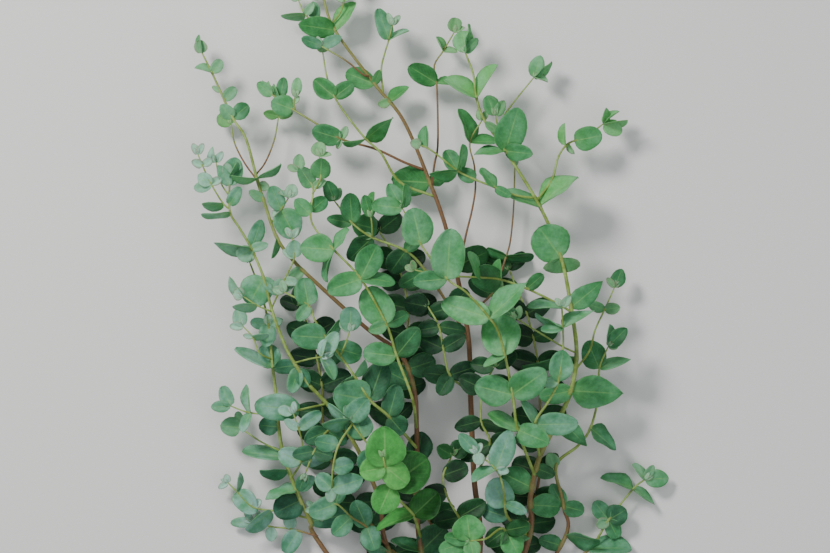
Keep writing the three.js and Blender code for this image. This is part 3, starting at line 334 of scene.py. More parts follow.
        route=[(20, -10), (-2, 30), (-22, 70), (-30, 120), (-24, 170), (-20, 220), (-30, 262), (-46, 290)],
        leaves=[(2, 24, 10, 21), (2, -24, 8, 20), (2.5, -22, 10, 18), (3, -24, 12, 21), (3, 20, 4, 15),
            (3.5, -24, 6, 20), (4, -25, 10, 22), (4, 14, 14, 14), (4.5, -24, 8, 20), (4.5, 24, 8, 20),
            (5, -26, 6, 22), (5, 26, 8, 21), (5.5, 25, 6, 20), (5.5, -24, 8, 20), (6, 26, 8, 21),
            (6, -25, 6, 21), (6.5, 24, 8, 19), (6.5, -24, 6, 19), (7, 26, 6, 21), (7, -24, 8, 20),
            (8, 20, 16, 19), (8, -22, 10, 18)]),
    dict(name="back_right_shoot", on=("limb", 0.7), thick=(3.2, 1.6), heights=(13, 9, 8, 8, 9, 10, 12),
        route=[(62, -30), (88, 24), (100, 72), (100, 120), (98, 170), (88, 215), (72, 255)],
        leaves=[(1.5, 24, 4, 19), (1.5, -24, 6, 19), (2, 26, 4, 21), (2, -24, 8, 20), (2.5, 22, 4, 18),
            (2.5, -24, 2, 18), (3, -26, 8, 22), (3, 16, 16, 14), (3.5, -24, 6, 18), (4, 24, 6, 20),
            (4, -26, 4, 20), (4.5, 24, 4, 18), (4.5, -26, 4, 19), (5, 24, 6, 18), (5, -28, 6, 20),
            (5.5, -25, 6, 20), (5.5, 22, 8, 16), (6, 22, 12, 17), (6, -26, 8, 20), (6.5, -22, 8, 18),
            (7, -24, 8, 20), (7, 14, 16, 14)]),
]

# How each stem's leaves look: how bright they are painted, from 0 in painted shade deep in the branch to 1 in
# painted full light, and how much waxy blue-grey bloom they carry.
USUAL_LOOK = (0.5, 0.2)
LOOKS = {
    "leader_tall": (0.52, 0.15), "tall_tip_right": (0.65, 0.4), "tall_tip_left": (0.65, 0.4),
    "tall_twig_left": (0.65, 0.6), "tall_twig_right": (0.62, 0.5), "long_left_shoot": (0.6, 0.3),
    "long_left_twig": (0.8, 0.3), "green_arc": (0.55, 0.2), "brown_mid_shoot": (0.5, 0.15),
    "brown_far_shoot": (0.3, 0.3), "centre_back_shoot": (0.5, 0.3), "leader_right": (0.62, 0.3),
    "right_upper_shoot": (0.78, 0.25), "right_thin_shoot": (0.78, 0.4), "right_to_centre": (0.55, 0.3),
    "right_low_to_left": (0.45, 0.2), "right_inner_twig": (0.35, 0.3), "right_front_shoot": (0.64, 0.6),
    "centre_front_shoot": (0.66, 0.35), "leader_left": (0.58, 0.4), "left_inner_twig": (0.72, 0.6),
    "left_side_shoot": (0.72, 0.0), "left_cross_shoot": (0.5, 0.0), "centre_left_shoot": (0.62, 0.3),
    "left_back_shoot": (0.6, 0.5), "left_back_twig": (0.5, 0.7), "leader_left_low": (0.7, 0.65),
    "pale_cross_twig": (1.05, 1.0), "left_low_side": (0.75, 0.7), "left_low_riser": (0.78, 0.7),
    "fan_left": (0.85, 0.8), "fan_mid": (0.85, 0.9), "leader_far_left": (0.62, 0.75),
    "far_left_twig": (0.75, 0.8), "left_reaching_shoot": (0.68, 0.8), "left_low_twig": (0.7, 0.5),
    "left_front_shoot": (0.82, 1.0), "low_left_shoot": (0.88, 1.0), "lowest_left_shoot": (0.95, 1.0),
    "front_bright_shoot": (0.85, 0.0), "front_left_shoot": (0.55, 0.7), "drooping_shoot": (0.62, 0.8),
    "inner_left_shoot": (0.35, 0.6), "low_centre_left": (0.58, 0.7), "right_low_front": (0.66, 0.9),
    "lowest_front": (0.7, 0.2), "leader_far_right": (0.5, 0.4), "far_right_back": (0.45, 0.3),
    "lowest_right_shoot": (0.6, 0.5), "inner_low_shoot": (0.1, 0.2), "inner_right_shoot": (0.12, 0.25),
    "inner_upper_shoot": (0.15, 0.3), "back_left_shoot": (0.12, 0.3), "back_middle_shoot": (0.1, 0.2),
    "back_right_shoot": (0.12, 0.2),
}
# Leaves with painted light or painted shade of their own, by their place in their stem's list: how much
# lighter or darker
PAINTED_LEAF_LIGHT = {
    "leader_tall": {0: -0.3, 1: -0.05, 7: 0.15, 8: 0.1, 9: 0.2, 10: 0.2},
    "long_left_shoot": {3: 0.2, 6: 0.2},
    "leader_right": {2: -0.2, 3: -0.25, 7: -0.35, 10: -0.3, 11: 0.25, 12: -0.1, 16: 0.25, 17: 0.3, 18: 0.35},
    "right_upper_shoot": {4: 0.2, 5: 0.2},
    "centre_left_shoot": {1: -0.25, 2: -0.2, 3: 0.1, 6: 0.15, 7: -0.2, 8: 0.1, 10: -0.3},
    "low_centre_left": {5: 0.5, 6: 0.5, 7: 0.4},
    "leader_left_low": {0: -0.35, 2: -0.3, 3: -0.3, 4: 0.15, 9: -0.2},
    "lowest_right_shoot": {0: -0.3, 2: -0.25, 4: -0.2, 7: 0.25, 8: 0.3},
    "centre_front_shoot": {4: 0.12, 7: 0.15},
    "leader_left": {0: -0.35, 1: -0.35, 2: -0.35, 3: -0.2, 4: -0.3, 10: 0.2},
    "left_back_shoot": {0: -0.25, 1: -0.3, 3: -0.3}, "front_bright_shoot": {0: -0.45, 1: -0.4, 2: -0.35},
    "centre_back_shoot": {0: -0.3, 1: -0.3, 3: -0.3, 5: -0.25},
    "leader_far_left": {0: -0.3, 1: -0.35, 4: -0.3, 6: -0.3}, "low_left_shoot": {0: -0.35},
    "lowest_left_shoot": {0: -0.35, 1: -0.2}, "lowest_front": {1: -0.3, 2: -0.35},
    "right_low_front": {0: -0.4}, "leader_far_right": {0: -0.2, 5: -0.15},
}
# Leaves that end in a point, by their place in their stem's list
POINTED_LEAVES = {
    "brown_mid_shoot": (1,), "centre_front_shoot": (6,), "green_arc": (0,), "leader_far_left": (7,),
    "leader_far_right": (5, 7), "leader_left": (10,), "leader_left_low": (6,),
    "leader_right": (4, 5, 7, 8, 12), "lowest_right_shoot": (6,), "right_front_shoot": (6,),
    "right_to_centre": (3,),
}

# The share of each stem that is woody brown before it turns green: (where the turn starts, where it ends)
USUAL_TURN = (-0.6, 0.1)
WOODY_UNTIL = {
    "leader_tall": (0.45, 1.2), "leader_left": (0.3, 0.75), "leader_left_low": (0.05, 0.35),
    "leader_far_left": (0.05, 0.4), "leader_right": (0.1, 0.35), "leader_far_right": (0.15, 0.5),
    "brown_mid_shoot": (0.5, 1.1), "brown_right_shoot": (0.5, 1.1), "brown_far_shoot": (0.6, 1.3),
    "tall_twig_left": (0.5, 1.0), "long_left_shoot": (0.2, 0.9), "left_side_shoot": (0.3, 1.0),
    "left_cross_shoot": (0.3, 1.0), "back_left_shoot": (0.3, 1.0), "back_middle_shoot": (0.3, 1.0),
    "back_right_shoot": (0.3, 1.0), "centre_back_shoot": (0.1, 0.5), "low_centre_left": (0.1, 0.8),
    "lowest_left_shoot": (0.0, 0.6), "lowest_right_shoot": (0.0, 0.5),
}


# Reading the growth table
def height_at(heights, share):
    place = share * (len(heights) - 1)
    below = min(int(place), len(heights) - 2)
    return heights[below] + (heights[below + 1] - heights[below]) * (place - below)


def route_of(stem, start=None):
    last = max(len(stem["route"]) - 1, 1)
    points = [
        Vector((x, y, height_at(stem["heights"], i / last))) * MM for i, (x, y) in enumerate(stem["route"])
    ]
    return [start, *points] if start else points


def point_on(route, place):
    before = min(int(place), len(route) - 2)
    return route[before].lerp(route[before + 1], place - before)


def limb_direction():
    start, after = route_of(LIMB)[:2]
    return (after - start).normalized()


def cut_end():
    """The middle of the limb's cut end, as the CAD part has it in the frame."""
    corners = {tuple(round(c, 5) for c in v.co) for v in frame["nodes"]["limb"].data.vertices}
    along = limb_direction()
    lowest = min(Vector(c).dot(along) for c in corners)
    ring = [Vector(c) for c in corners if Vector(c).dot(along) < lowest + 0.5 * MM]
    return sum(ring, Vector()) / len(ring)


SHIFT = cut_end() - route_of(LIMB)[0]


def smooth_point(points, place):
    """A point of the smooth curve through the route's points, numbered as they are."""
    before = min(int(place), len(points) - 2)
    t = place - before
    p1, p2 = points[before], points[before + 1]
    p0 = points[before - 1] if before > 0 else p1 * 2 - p2
    p3 = points[before + 2] if before + 2 < len(points) else p2 * 2 - p1
    pull_in, pull_out = (p2 - p0) / 2, (p3 - p1) / 2
    return (
        p1 * (2 * t**3 - 3 * t**2 + 1)
        + pull_in * (t**3 - 2 * t**2 + t)
        + p2 * (3 * t**2 - 2 * t**3)
        + pull_out * (t**3 - t**2)
    )


# Stems
def ring_places(route):
    """The places along the route where the stem gets a ring."""
    places = set()
    for i in range(len(route) - 1):
        steps = max(2, math.ceil((route[i + 1] - route[i]).length / STEM_STEP))
        places |= {i + k / steps for k in range(steps)}
    places.add(float(len(route) - 1))
    return sorted(places)


def stem_radius(stem, share, to_node):
    start, tip = stem["thick"]
    radius = (start + (tip - start) * share) / 2 * MM
    return radius * (1 + NODE_SWELL * math.exp(-((to_node / NODE_REACH) ** 2)))


def ring_matrix(at, along, radius):
    across = UP.cross(along).normalized()
    above = along.cross(across)
    turn = Matrix((across, above, along)).transposed().to_4x4()
    return Matrix.Translation(at) @ turn @ Matrix.Diagonal((radius, radius, radius, 1))


def make_stem(stem, skin):
    """A round stem, drawn ring by ring along its route, that knows where it is woody and has nodes."""
    route = stem["route_m"]
    places = ring_places(route)
    centres = [smooth_point(route, place) for place in places]
    nodes = [smooth_point(route, node) for node in sorted({leaf[0] for leaf in stem["leaves"]})]
    turn_from, turn_to = WOODY_UNTIL.get(stem["name"], USUAL_TURN)
    bm = bmesh.new()
    brown_of = bm.verts.layers.float.new("brown")
    node_of = bm.verts.layers.float.new("near_node")
    made = bmesh.ops.create_circle(bm, cap_ends=True, segments=STEM_SIDES, radius=1)
    ring = made["verts"]
    before = Matrix.Identity(4)
    for i, at in enumerate(centres):
        along = (centres[min(i + 1, len(centres) - 1)] - centres[max(i - 1, 0)]).normalized()
        share = places[i] / (len(route) - 1)
        to_node = min(((at - node).length for node in nodes), default=1)
        radius = stem_radius(stem, share, to_node)
        if i == len(centres) - 1:
            radius *= TIP_SHARE
        after = ring_matrix(at, along, radius)
        if i:
            edges = {e for v in ring for e in v.link_edges if all(w in ring for w in e.verts)}
            grown = bmesh.ops.extrude_edge_only(bm, edges=list(edges))
            ring = [g for g in grown["geom"] if isinstance(g, bmesh.types.BMVert)]
        bmesh.ops.transform(bm, matrix=after @ before.inverted(), verts=ring)
        for vert in ring:
            vert[brown_of] = min(max((turn_to - share) / (turn_to - turn_from), 0), 1)
            vert[node_of] = math.exp(-((to_node / (2 * NODE_REACH)) ** 2))
        before = after
    bmesh.ops.holes_fill(bm, edges=[e for e in bm.edges if e.is_boundary], sides=0)
    bmesh.ops.recalc_face_normals(bm, faces=bm.faces)
    return to_object(bm, stem["name"] + "_stem", skin)


def to_object(bm, name, material):
    mesh = bpy.data.meshes.new(name)
    bm.to_mesh(mesh)
    bm.free()
    for face in mesh.polygons:
        face.use_smooth = True
    mesh.materials.append(material)
    piece = bpy.data.objects.new(name, mesh)
    scene.collection.objects.link(piece)
    return piece


# Leaves
def leaf_half_width(u, broad_at, pointed):
    """Half the width of a leaf, as a share of its greatest half width, at the share u of its length."""
    return math.sin(math.pi * min(max(u, 0), 1) ** broad_at) ** pointed


def leaf_facing(reach, turn):
    along = reach.normalized()
    across = Matrix.Rotation(turn, 3, along) @ Vector((-reach.y, reach.x, 0)).normalized()
    return along, across, along.cross(across)


def resting_reach(stem, leaf, count, corners):
    """The leaf's reach with the lift that the CAD part gave it, found from the tip of its plate."""
    place, reach_x, reach_y, _ = leaf
    base = point_on(stem["route_m"], place)
    length = math.hypot(reach_x, reach_y) * MM
    lifts = [(LIFT * math.sin(count * WAVE) + step) * length for step in LIFT_STEPS]
    reaches = [Vector((reach_x * MM, reach_y * MM, lift)) for lift in lifts]
    return min(reaches, key=lambda reach: min((base + reach - corner).length for corner in corners))


def leaf_variety(count, age):
    """How one leaf differs from the others, worked out from its running number."""
    return {
        "outline": (0.88 + 0.1 * math.sin(count * 2.7), 0.46 + 0.06 * math.sin(count * 1.9)),
        "tone": math.sin(count * 1.7) * 0.6 + math.sin(count * 4.3) * 0.4,
        "cup": (0.46 - 0.3 * age) * (1 + 0.4 * math.sin(count * 3.1)),
        "fold": 0.1 + 0.1 * math.sin(count * 5.1),
        "bend": 0.09 * math.sin(count * 2.3) - 0.05,
        "wave": (0.03 + 0.02 * math.sin(count * 1.3)) * age,
        "waves": 2.2 + math.sin(count * 0.9),
    }


def mark(vert, layers, **values):
    """Give a vertex the numbers that the leaf material reads."""
    for name, value in values.items():
        vert[layers[name]] = value


def add_leaf(bm, layers, stem, number, count, corners):
    leaf = stem["leaves"][number]
    place, reach_x, reach_y, seen_width = leaf
    reach = resting_reach(stem, leaf, count, corners)
    length = reach.length
    full_width = ROUND_LEAF * math.hypot(reach_x, reach_y)
    turn = 0
    width = seen_width * MM
    if seen_width < EDGE_ON * full_width:
        turn = min(math.acos(seen_width / full_width), STEEPEST_TURN)
        width /= math.cos(turn)
    along, across, up = leaf_facing(reach, turn if count % 2 else -turn)
    base = smooth_point(stem["route_m"], place)
    age = min(max((length - YOUNG_LENGTH) / (GROWN_LENGTH - YOUNG_LENGTH), 0), 1)
    its = leaf_variety(count, age)
    pointed = number in POINTED_LEAVES.get(stem["name"], ())
    outline = POINTED_OUTLINE if pointed else its["outline"]
    # light is the leaf's painted light and shade: its stem's, its own, more on a leaf turned on its edge, and
    # a random tone
    light, bloom = LOOKS.get(stem["name"], USUAL_LOOK)
    light += PAINTED_LEAF_LIGHT.get(stem["name"], {}).get(number, 0) + SIDE_LIGHT * math.sin(turn)
    light += TONE_SPREAD * its["tone"]
    steps_along, steps_across = FINE_GRID if length > LARGE_LEAF else COARSE_GRID
    grid = bmesh.ops.create_grid(bm, x_segments=steps_along, y_segments=steps_across, size=0.5)
    for vert in grid["verts"]:
        u, v = vert.co.x + 0.5, vert.co.y * 2
        eased = (1 - math.cos(math.pi * u)) / 2
        half = leaf_half_width(eased, *outline) * width / 2
        half *= 1 + 0.05 * math.sin(6 * eased + 1.5 * v + count)
        rise = (its["cup"] * v * v + its["fold"] * abs(v)) * half
        ripple = math.sin(its["waves"] * math.pi * eased + v * 2 + count)
        rise += length * (its["bend"] * eased * eased + its["wave"] * v * v * ripple)
        stretch = eased * (1 - 0.03 * abs(v) * (1 - age))
        notch = 0.02 * length * age * (1 - min(abs(v) * 3, 1)) if u > 0.99 else 0
        vert.co = base + along * (stretch * length - notch) + across * (half * v) + up * rise
        vert.co.z = max(vert.co.z, LEAF_THICKNESS - SHIFT.z)  # not through the table
        mark(vert, layers, u=eased, v=v, age=age, bloom=bloom, light=light)


def add_bud(bm, layers, stem):
    """The closed pair of newest leaflets that ends a shoot."""
    route = stem["route_m"]
    tip = route[-1]
    ahead = (tip - route[-2]).normalized()
    aside = UP.cross(ahead).normalized()
    # A bud takes its stem's painted light and shade, a little lighter
    light, bloom = LOOKS.get(stem["name"], USUAL_LOOK)
    for side in (-1, 1):
        along = (ahead + aside * side * BUD_SPREAD).normalized()
        across = UP.cross(along).normalized()
        up = along.cross(across)
        grid = bmesh.ops.create_grid(bm, x_segments=6, y_segments=2, size=0.5)
        for vert in grid["verts"]:
            u, v = vert.co.x + 0.5, vert.co.y * 2
            half = BUD_WIDTH / 2 * leaf_half_width(u, *BUD_OUTLINE)
            vert.co = tip + along * (u * BUD_LENGTH) + across * (half * v) + up * (half * v * v * 0.6)
            mark(vert, layers, u=u, v=v, age=0, bloom=bloom, light=light + BUD_LIGHT)


def make_leaves(stem, first, material):
    corners = [v.co.copy() - SHIFT for v in frame["nodes"][stem["name"]].data.vertices]
    bm = bmesh.new()
    layers = {name: bm.verts.layers.float.new("leaf_" + name) for name in ("u", "v", "age", "bloom", "light")}
    for number in range(len(stem["leaves"])):
        add_leaf(bm, layers, stem, number, first + number, corners)
    add_bud(bm, layers, stem)
    bmesh.ops.remove_doubles(bm, verts=bm.verts, dist=0.02 * MM)
    piece = to_object(bm, stem["name"] + "_leaves", material)
    thicken = piece.modifiers.new("blade", "SOLIDIFY")
    thicken.thickness = LEAF_THICKNESS
    thicken.offset = 0
    return piece


# Materials
class Nodes:
    """Short ways to add and join shader nodes."""

    def __init__(self, name):
        self.material = bpy.data.materials.new(name)
        self.material.use_nodes = True
        self.tree = self.material.node_tree
        self.shader = self.tree.nodes["Principled BSDF"]

    def add(self, kind, **settings):
        node = self.tree.nodes.new(kind)
        for key, value in settings.items():
            setattr(node, key, value)
        return node

    def join(self, source, target):
        self.tree.links.new(source, target)

    def attribute(self, name):
        return self.add("ShaderNodeAttribute", attribute_name=name).outputs["Fac"]

    def math(self, operation, first, second=None, third=None, clamp=False):
        node = self.add("ShaderNodeMath", operation=operation, use_clamp=clamp)
        for socket, value in zip(node.inputs, (first, second, third)):
            if isinstance(value, (int, float)):
                socket.default_value = value
            elif value is not None:
                self.join(value, socket)
        return node.outputs[0]

    def ramp(self, value, low, high, start=0.0, end=1.0, kind="LINEAR"):
        node = self.add("ShaderNodeMapRange", interpolation_type=kind)
        self.join(value, node.inputs["Value"])
        for name, number in (("From Min", low), ("From Max", high), ("To Min", start), ("To Max", end)):
            node.inputs[name].default_value = number
        return node.outputs["Result"]

    def smooth(self, value, low, high, start=0.0, end=1.0):
        return self.ramp(value, low, high, start, end, "SMOOTHSTEP")

    def mix(self, share, first, second, blend="MIX"):
        node = self.add("ShaderNodeMix", data_type="RGBA", blend_type=blend)
        for name, value in (("Factor", share), (6, first), (7, second)):
            socket = node.inputs[name]
            if isinstance(value, tuple):
                socket.default_value = (*value, 1)
            elif isinstance(value, (int, float)):
                socket.default_value = value
            else:
                self.join(value, socket)
        return node.outputs[2]

    def shade(self, colour, share):
        """The colour made darker or lighter by a share of its own."""
        grey = self.add("ShaderNodeCombineColor")
        for socket in grey.inputs:
            self.join(share, socket)
        return self.mix(1.0, colour, grey.outputs[0], "MULTIPLY")

    def noise(self, scale, detail=3.0, roughness=0.55):
        place = self.add("ShaderNodeTexCoord").outputs["Object"]
        node = self.add("ShaderNodeTexNoise")
        self.join(place, node.inputs["Vector"])
        node.inputs["Scale"].default_value = scale
        node.inputs["Detail"].default_value = detail
        node.inputs["Roughness"].default_value = roughness
        return node.outputs["Fac"]

    def bump(self, height, strength, distance):
        node = self.add("ShaderNodeBump")
        node.inputs["Strength"].default_value = strength
        node.inputs["Distance"].default_value = distance
        self.join(height, node.inputs["Height"])
        self.join(node.outputs["Normal"], self.shader.inputs["Normal"])


def from_screen(red, green, blue):
    """A colour given as it shows on a screen, 0 to 255, as the shader's own numbers."""
    return tuple(
        c / 255 / 12.92 if c <= 10 else ((c / 255 + 0.055) / 1.055) ** 2.4 for c in (red, green, blue)
    )


# The leaf greens, from SHADE_GREEN to SUNNY_GREEN and from BLUE_SHADE to GREY_BLOOM, are painted shade and
# painted light: each leaf's painted light picks among them
SHADE_GREEN = from_screen(6, 36, 14)
DARK_GREEN = from_screen(22, 78, 26)
LEAF_GREEN = from_screen(42, 116, 48)
BRIGHT_GREEN = from_screen(66, 152, 68)
SUNNY_GREEN = from_screen(104, 184, 92)
BLUE_SHADE = from_screen(26, 74, 58)
BLUE_GREEN = from_screen(84, 142, 122)
GREY_BLOOM = from_screen(140, 184, 176)
YOUNG_MINT = from_screen(130, 192, 122)
YOUNG_FROST = from_screen(158, 206, 190)
YOUNG_MARGIN = from_screen(146, 128, 112)
VEIN_GREEN = from_screen(128, 184, 104)
MARGIN_GREEN = from_screen(110, 164, 100)
STEM_LIME = from_screen(154, 182, 98)
STEM_OLIVE = from_screen(120, 142, 62)
STEM_BROWN = from_screen(120, 88, 60)
NODE_PALE = from_screen(138, 152, 84)
BARK_BROWN = from_screen(96, 66, 42)
BARK_DARK = from_screen(48, 32, 22)
BARK_GREY = from_screen(120, 100, 80)
WOOD_PALE = from_screen(214, 186, 140)


def leaf_material(name, youth):
    """A waxy leaf: mottled green under a grey-blue bloom, with pale veins and a pale margin, darker or
    lighter with the painted light and shade that each leaf carries.

    youth is taken off the age of every leaf, so that a young shoot's leaves are paler.
    """
    m = Nodes(name)
    u, v = m.attribute("leaf_u"), m.attribute("leaf_v")
    age = m.attribute("leaf_age")
    bloom, light = m.attribute("leaf_bloom"), m.attribute("leaf_light")
    side = m.math("ABSOLUTE", v)
    cloud = m.noise(55.0)
    fine = m.noise(420.0, 4.0)

    patch = m.math("ADD", m.math("MULTIPLY", cloud, 0.5), m.math("MULTIPLY", m.noise(190.0, 2.0), 0.35))
    # lit: the leaf's painted light and shade with random mottling; it picks the painted shade and painted
    # light greens, and the bloom's grey shows only where painted light is strong
    lit = m.math("ADD", m.math("SUBTRACT", patch, 0.425), light)
    green = m.mix(m.ramp(lit, 0.0, 0.3), SHADE_GREEN, DARK_GREEN)
    green = m.mix(m.ramp(lit, 0.3, 0.55), green, LEAF_GREEN)
    green = m.mix(m.ramp(lit, 0.55, 0.8), green, BRIGHT_GREEN)
    green = m.mix(m.ramp(lit, 0.8, 1.05), green, SUNNY_GREEN)
    waxy = m.mix(m.ramp(lit, 0.05, 0.6), BLUE_SHADE, BLUE_GREEN)
    waxy = m.mix(m.math("MULTIPLY", m.ramp(lit, 0.5, 0.9), m.smooth(cloud, 0.3, 0.6)), waxy, GREY_BLOOM)
    wax_share = m.math("MULTIPLY", bloom, m.smooth(cloud, 0.25, 0.75, 0.6, 1.0))
    colour = m.mix(wax_share, green, waxy)
    grown = m.math("SUBTRACT", age, youth, clamp=True)
    young = m.mix(bloom, YOUNG_MINT, YOUNG_FROST)
    # Young leaves in painted shade are painted a darker green
    young = m.mix(m.ramp(light, 0.1, 0.7), LEAF_GREEN, young)
    colour = m.mix(m.smooth(grown, 0.0, 0.7), young, colour)

    # The pale base of the leaf, painted stronger on leaves with more painted light
    base_light = m.math("MULTIPLY", m.smooth(u, 0.0, 0.45, 1.0, 0.0), m.smooth(side, 0.0, 0.8, 1.0, 0.2))
    colour = m.mix(m.math("MULTIPLY", m.math("MULTIPLY", base_light, light), 0.4), colour, VEIN_GREEN)
    midrib = m.math("MULTIPLY", m.smooth(side, 0.02, 0.075, 1.0, 0.0), m.smooth(u, 0.6, 1.0, 1.0, 0.25))
    climb = m.math("MULTIPLY_ADD", m.math("POWER", side, 1.25), -0.42, u)
    stripe = m.math("FRACT", m.math("MULTIPLY", climb, 8.5))
    stripe = m.math("ABSOLUTE", m.math("SUBTRACT", stripe, 0.5))
    veins = m.math("MULTIPLY", m.smooth(stripe, 0.0, 0.1, 1.0, 0.0), m.smooth(side, 0.75, 0.98, 1.0, 0.0))
    lines = m.math("MAXIMUM", midrib, m.math("MULTIPLY", veins, 0.3))
    # Veins and margin are painted clearer on leaves with more painted light and fainter in painted shade
    painted_lit_share = m.math("MULTIPLY_ADD", light, 0.5, 0.12, clamp=True)
    colour = m.mix(m.math("MULTIPLY", lines, painted_lit_share), colour, VEIN_GREEN)
    edge = m.math("MULTIPLY", m.smooth(side, 0.93, 0.99), painted_lit_share)
    colour = m.mix(edge, colour, MARGIN_GREEN)
    rim = m.math("MAXIMUM", m.smooth(side, 0.5, 1.0), m.smooth(u, 0.75, 1.0))
    rim = m.math("MULTIPLY", m.math("MULTIPLY", rim, cloud), m.smooth(age, 0.0, 0.45, 1.0, 0.0))
    colour = m.mix(rim, colour, YOUNG_MARGIN)
    colour = m.shade(colour, m.smooth(fine, 0.3, 0.7, 0.9, 1.08))
    m.join(colour, m.shader.inputs["Base Color"])
    m.join(m.smooth(cloud, 0.2, 0.8, 0.46, 0.62), m.shader.inputs["Roughness"])
    m.shader.inputs["Specular IOR Level"].default_value = 0.25
    m.shader.inputs["Subsurface Weight"].default_value = 0.12
    m.shader.inputs["Subsurface Radius"].default_value = (0.002, 0.004, 0.001)
    m.shader.inputs["Subsurface Scale"].default_value = 0.5
    relief = m.math("MULTIPLY_ADD", lines, -1.0, m.math("MULTIPLY", fine, 0.25))
    m.bump(relief, 0.5, 0.25 * MM)
    return m.material


def stem_material():
    """A smooth stem that turns from woody pink-brown to yellow-green, paler around its nodes."""
    m = Nodes("stem_skin")
    brown, near = m.attribute("brown"), m.attribute("near_node")
    cloud = m.noise(90.0)
    fine = m.noise(700.0, 4.0)
    green = m.mix(m.smooth(cloud, 0.35, 0.65), STEM_OLIVE, STEM_LIME)
    share = m.math("ADD", brown, m.math("MULTIPLY_ADD", cloud, 0.4, -0.2), clamp=True)
    colour = m.mix(m.smooth(share, 0.1, 0.9), green, STEM_BROWN)
    colour = m.mix(m.math("MULTIPLY", near, 0.5), colour, NODE_PALE)
    colour = m.shade(colour, m.smooth(fine, 0.3, 0.7, 0.82, 1.1))
    m.join(colour, m.shader.inputs["Base Color"])
    m.join(m.smooth(cloud, 0.2, 0.8, 0.42, 0.6), m.shader.inputs["Roughness"])
    m.shader.inputs["Specular IOR Level"].default_value = 0.35
    m.bump(fine, 0.3, 0.15 * MM)
    return m.material


def bark_material():
    """Rough brown bark with fine lengthwise cracks."""
    m = Nodes("limb_bark")
    cloud = m.noise(60.0)
    fine = m.noise(450.0, 6.0, 0.7)
    place = m.add("ShaderNodeTexCoord").outputs["Object"]
    squeeze = m.add("ShaderNodeMapping")
    m.join(place, squeeze.inputs["Vector"])
    squeeze.inputs["Scale"].default_value = (1.0, 0.14, 1.0)  # drawn out along the limb
    cracks = m.add("ShaderNodeTexNoise")
    m.join(squeeze.outputs["Vector"], cracks.inputs["Vector"])
    cracks.inputs["Scale"].default_value = 900.0
    cracks.inputs["Detail"].default_value = 4.0
    crack = m.smooth(cracks.outputs["Fac"], 0.35, 0.6)
    colour = m.mix(crack, BARK_DARK, BARK_BROWN)
    colour = m.mix(m.smooth(cloud, 0.5, 0.75, 0.0, 0.6), colour, BARK_GREY)
    m.join(colour, m.shader.inputs["Base Color"])
    m.shader.inputs["Roughness"].default_value = 0.78
    relief = m.math("ADD", m.math("MULTIPLY", crack, 0.7), m.math("MULTIPLY", fine, 0.3))
    m.bump(relief, 0.7, 0.5 * MM)
    return m.material


def cut_wood_material():
    """The sawn end: pale wood with growth rings around its middle."""
    m = Nodes("cut_wood")
    end = cut_end()
    place = m.add("ShaderNodeTexCoord").outputs["Object"]
    centred = m.add("ShaderNodeMapping")
    m.join(place, centred.inputs["Vector"])
    centred.inputs["Location"].default_value = (-end.x, -end.y, -end.z)
    distance = m.add("ShaderNodeVectorMath", operation="LENGTH")
    m.join(centred.outputs["Vector"], distance.inputs[0])
    wobble = m.math("MULTIPLY_ADD", m.noise(300.0), 0.9 * MM, distance.outputs["Value"])
    rings = m.math("SINE", m.math("MULTIPLY", wobble, 5200.0))  # a ring every 1.2 mm
    colour = m.mix(m.smooth(rings, -0.2, 1.0, 0.0, 0.45), WOOD_PALE, BARK_BROWN)
    m.join(colour, m.shader.inputs["Base Color"])
    m.shader.inputs["Roughness"].default_value = 0.8
    m.bump(rings, 0.25, 0.1 * MM)
    return m.material


def show_cut_wood(limb, cut_wood):
    """Give the limb's cut end the look of sawn wood."""
    along = limb_direction()
    limb.data.materials.append(cut_wood)
    for face in limb.data.polygons:
        if len(face.vertices) > 4 and face.normal.dot(along) < -0.8:
            face.material_index = 1
            face.use_smooth = False


# Growing the branch
stems = {}
for row in (LIMB, *STEMS):
    stem = dict(row)
    start = None
    if "on" in stem:
        parent, place = stem["on"]
        start = point_on(stems[parent]["route_m"], place)
    stem["route_m"] = route_of(stem, start)
    stem.setdefault("leaves", ())
    stems[stem["name"]] = stem

slots = {row["node"]: row["material_slot"] for row in frame["record"]["subparts"]}
leaf_looks = {
    "grown": leaf_material("grown_leaf", 0.0),
    "young": leaf_material("young_leaf", 0.12),
}
bark, cut_wood, stem_skin = bark_material(), cut_wood_material(), stem_material()

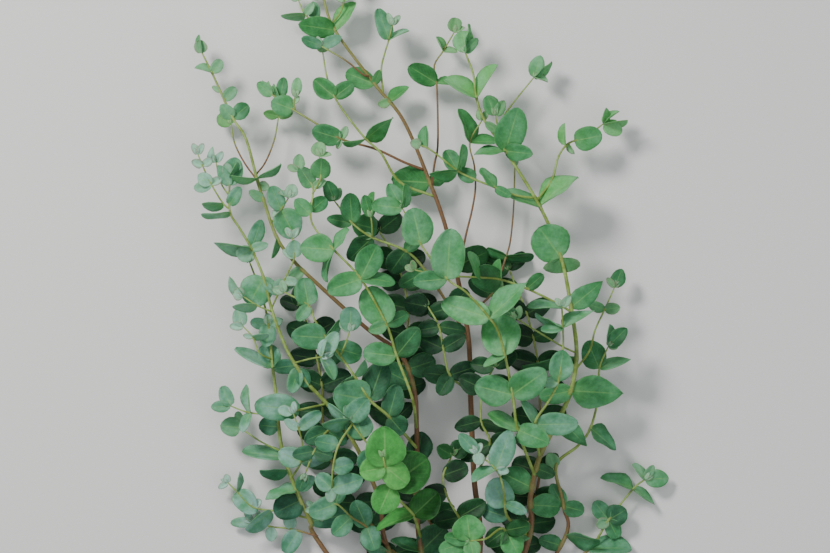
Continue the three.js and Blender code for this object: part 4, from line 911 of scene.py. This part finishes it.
count = 0
for name, stem in stems.items():
    slot = slots[name]
    piece = make_stem(stem, bark if slot == "bark" else stem_skin)
    piece.data.transform(Matrix.Translation(SHIFT))
    if slot == "bark":
        show_cut_wood(piece, cut_wood)
    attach(piece, "root")
    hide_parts(name)
    if stem["leaves"]:
        young = slot == "young_foliage"
        leaves = make_leaves(stem, count, leaf_looks["young" if young else "grown"])
        leaves.data.transform(Matrix.Translation(SHIFT))
        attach(leaves, "root")
        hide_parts(name)
    count += len(stem["leaves"])


# The floor, the light and the camera
FLOOR_REACH = 6
FLOOR_GREY = (0.78, 0.78, 0.77, 1)
SKY_COLOUR = (0.9, 0.93, 0.96, 1)
SKY_STRENGTH = 0.35
PICTURE_WIDTH = 747 * MM  # what the camera shows at half the branch's depth
PICTURE_MIDDLE = Vector((-13.5, 248.9, 60)) * MM + SHIFT  # measured as in the growth table
CAMERA_DISTANCE = 6.0


def make_floor():
    bm = bmesh.new()
    bmesh.ops.create_grid(bm, x_segments=1, y_segments=1, size=FLOOR_REACH)
    m = Nodes("plain_floor")
    m.shader.inputs["Base Color"].default_value = FLOOR_GREY
    m.shader.inputs["Roughness"].default_value = 0.9
    floor = to_object(bm, "floor", m.material)


def make_light(name, place, target, size, power, colour=(1, 1, 1)):
    lamp = bpy.data.lights.new(name, "AREA")
    lamp.shape = "DISK"
    lamp.size = size
    lamp.energy = power
    lamp.color = colour
    holder = bpy.data.objects.new(name, lamp)
    holder.location = place
    holder.rotation_euler = (Vector(target) - Vector(place)).to_track_quat("-Z", "Y").to_euler()
    scene.collection.objects.link(holder)


make_floor()
middle = (cad_box[0] + cad_box[1]) / 2
make_light("key_light", (-1.1, 1.2, 1.7), middle, 0.6, 46, (1.0, 0.98, 0.95))
make_light("fill_light", (1.2, -0.6, 1.6), middle, 1.6, 8, (0.95, 0.98, 1.0))
make_light("sky_light", (0, 0, 3.0), middle, 2.4, 14)

world = bpy.data.worlds.new("studio")
world.use_nodes = True
world.node_tree.nodes["Background"].inputs["Color"].default_value = SKY_COLOUR
world.node_tree.nodes["Background"].inputs["Strength"].default_value = SKY_STRENGTH
scene.world = world

# The camera looks straight down
camera = bpy.data.cameras.new("camera")
camera.sensor_width = 36
camera.lens = camera.sensor_width * CAMERA_DISTANCE / PICTURE_WIDTH
camera_holder = bpy.data.objects.new("camera", camera)
camera_holder.location = PICTURE_MIDDLE + UP * CAMERA_DISTANCE
scene.collection.objects.link(camera_holder)
scene.camera = camera_holder
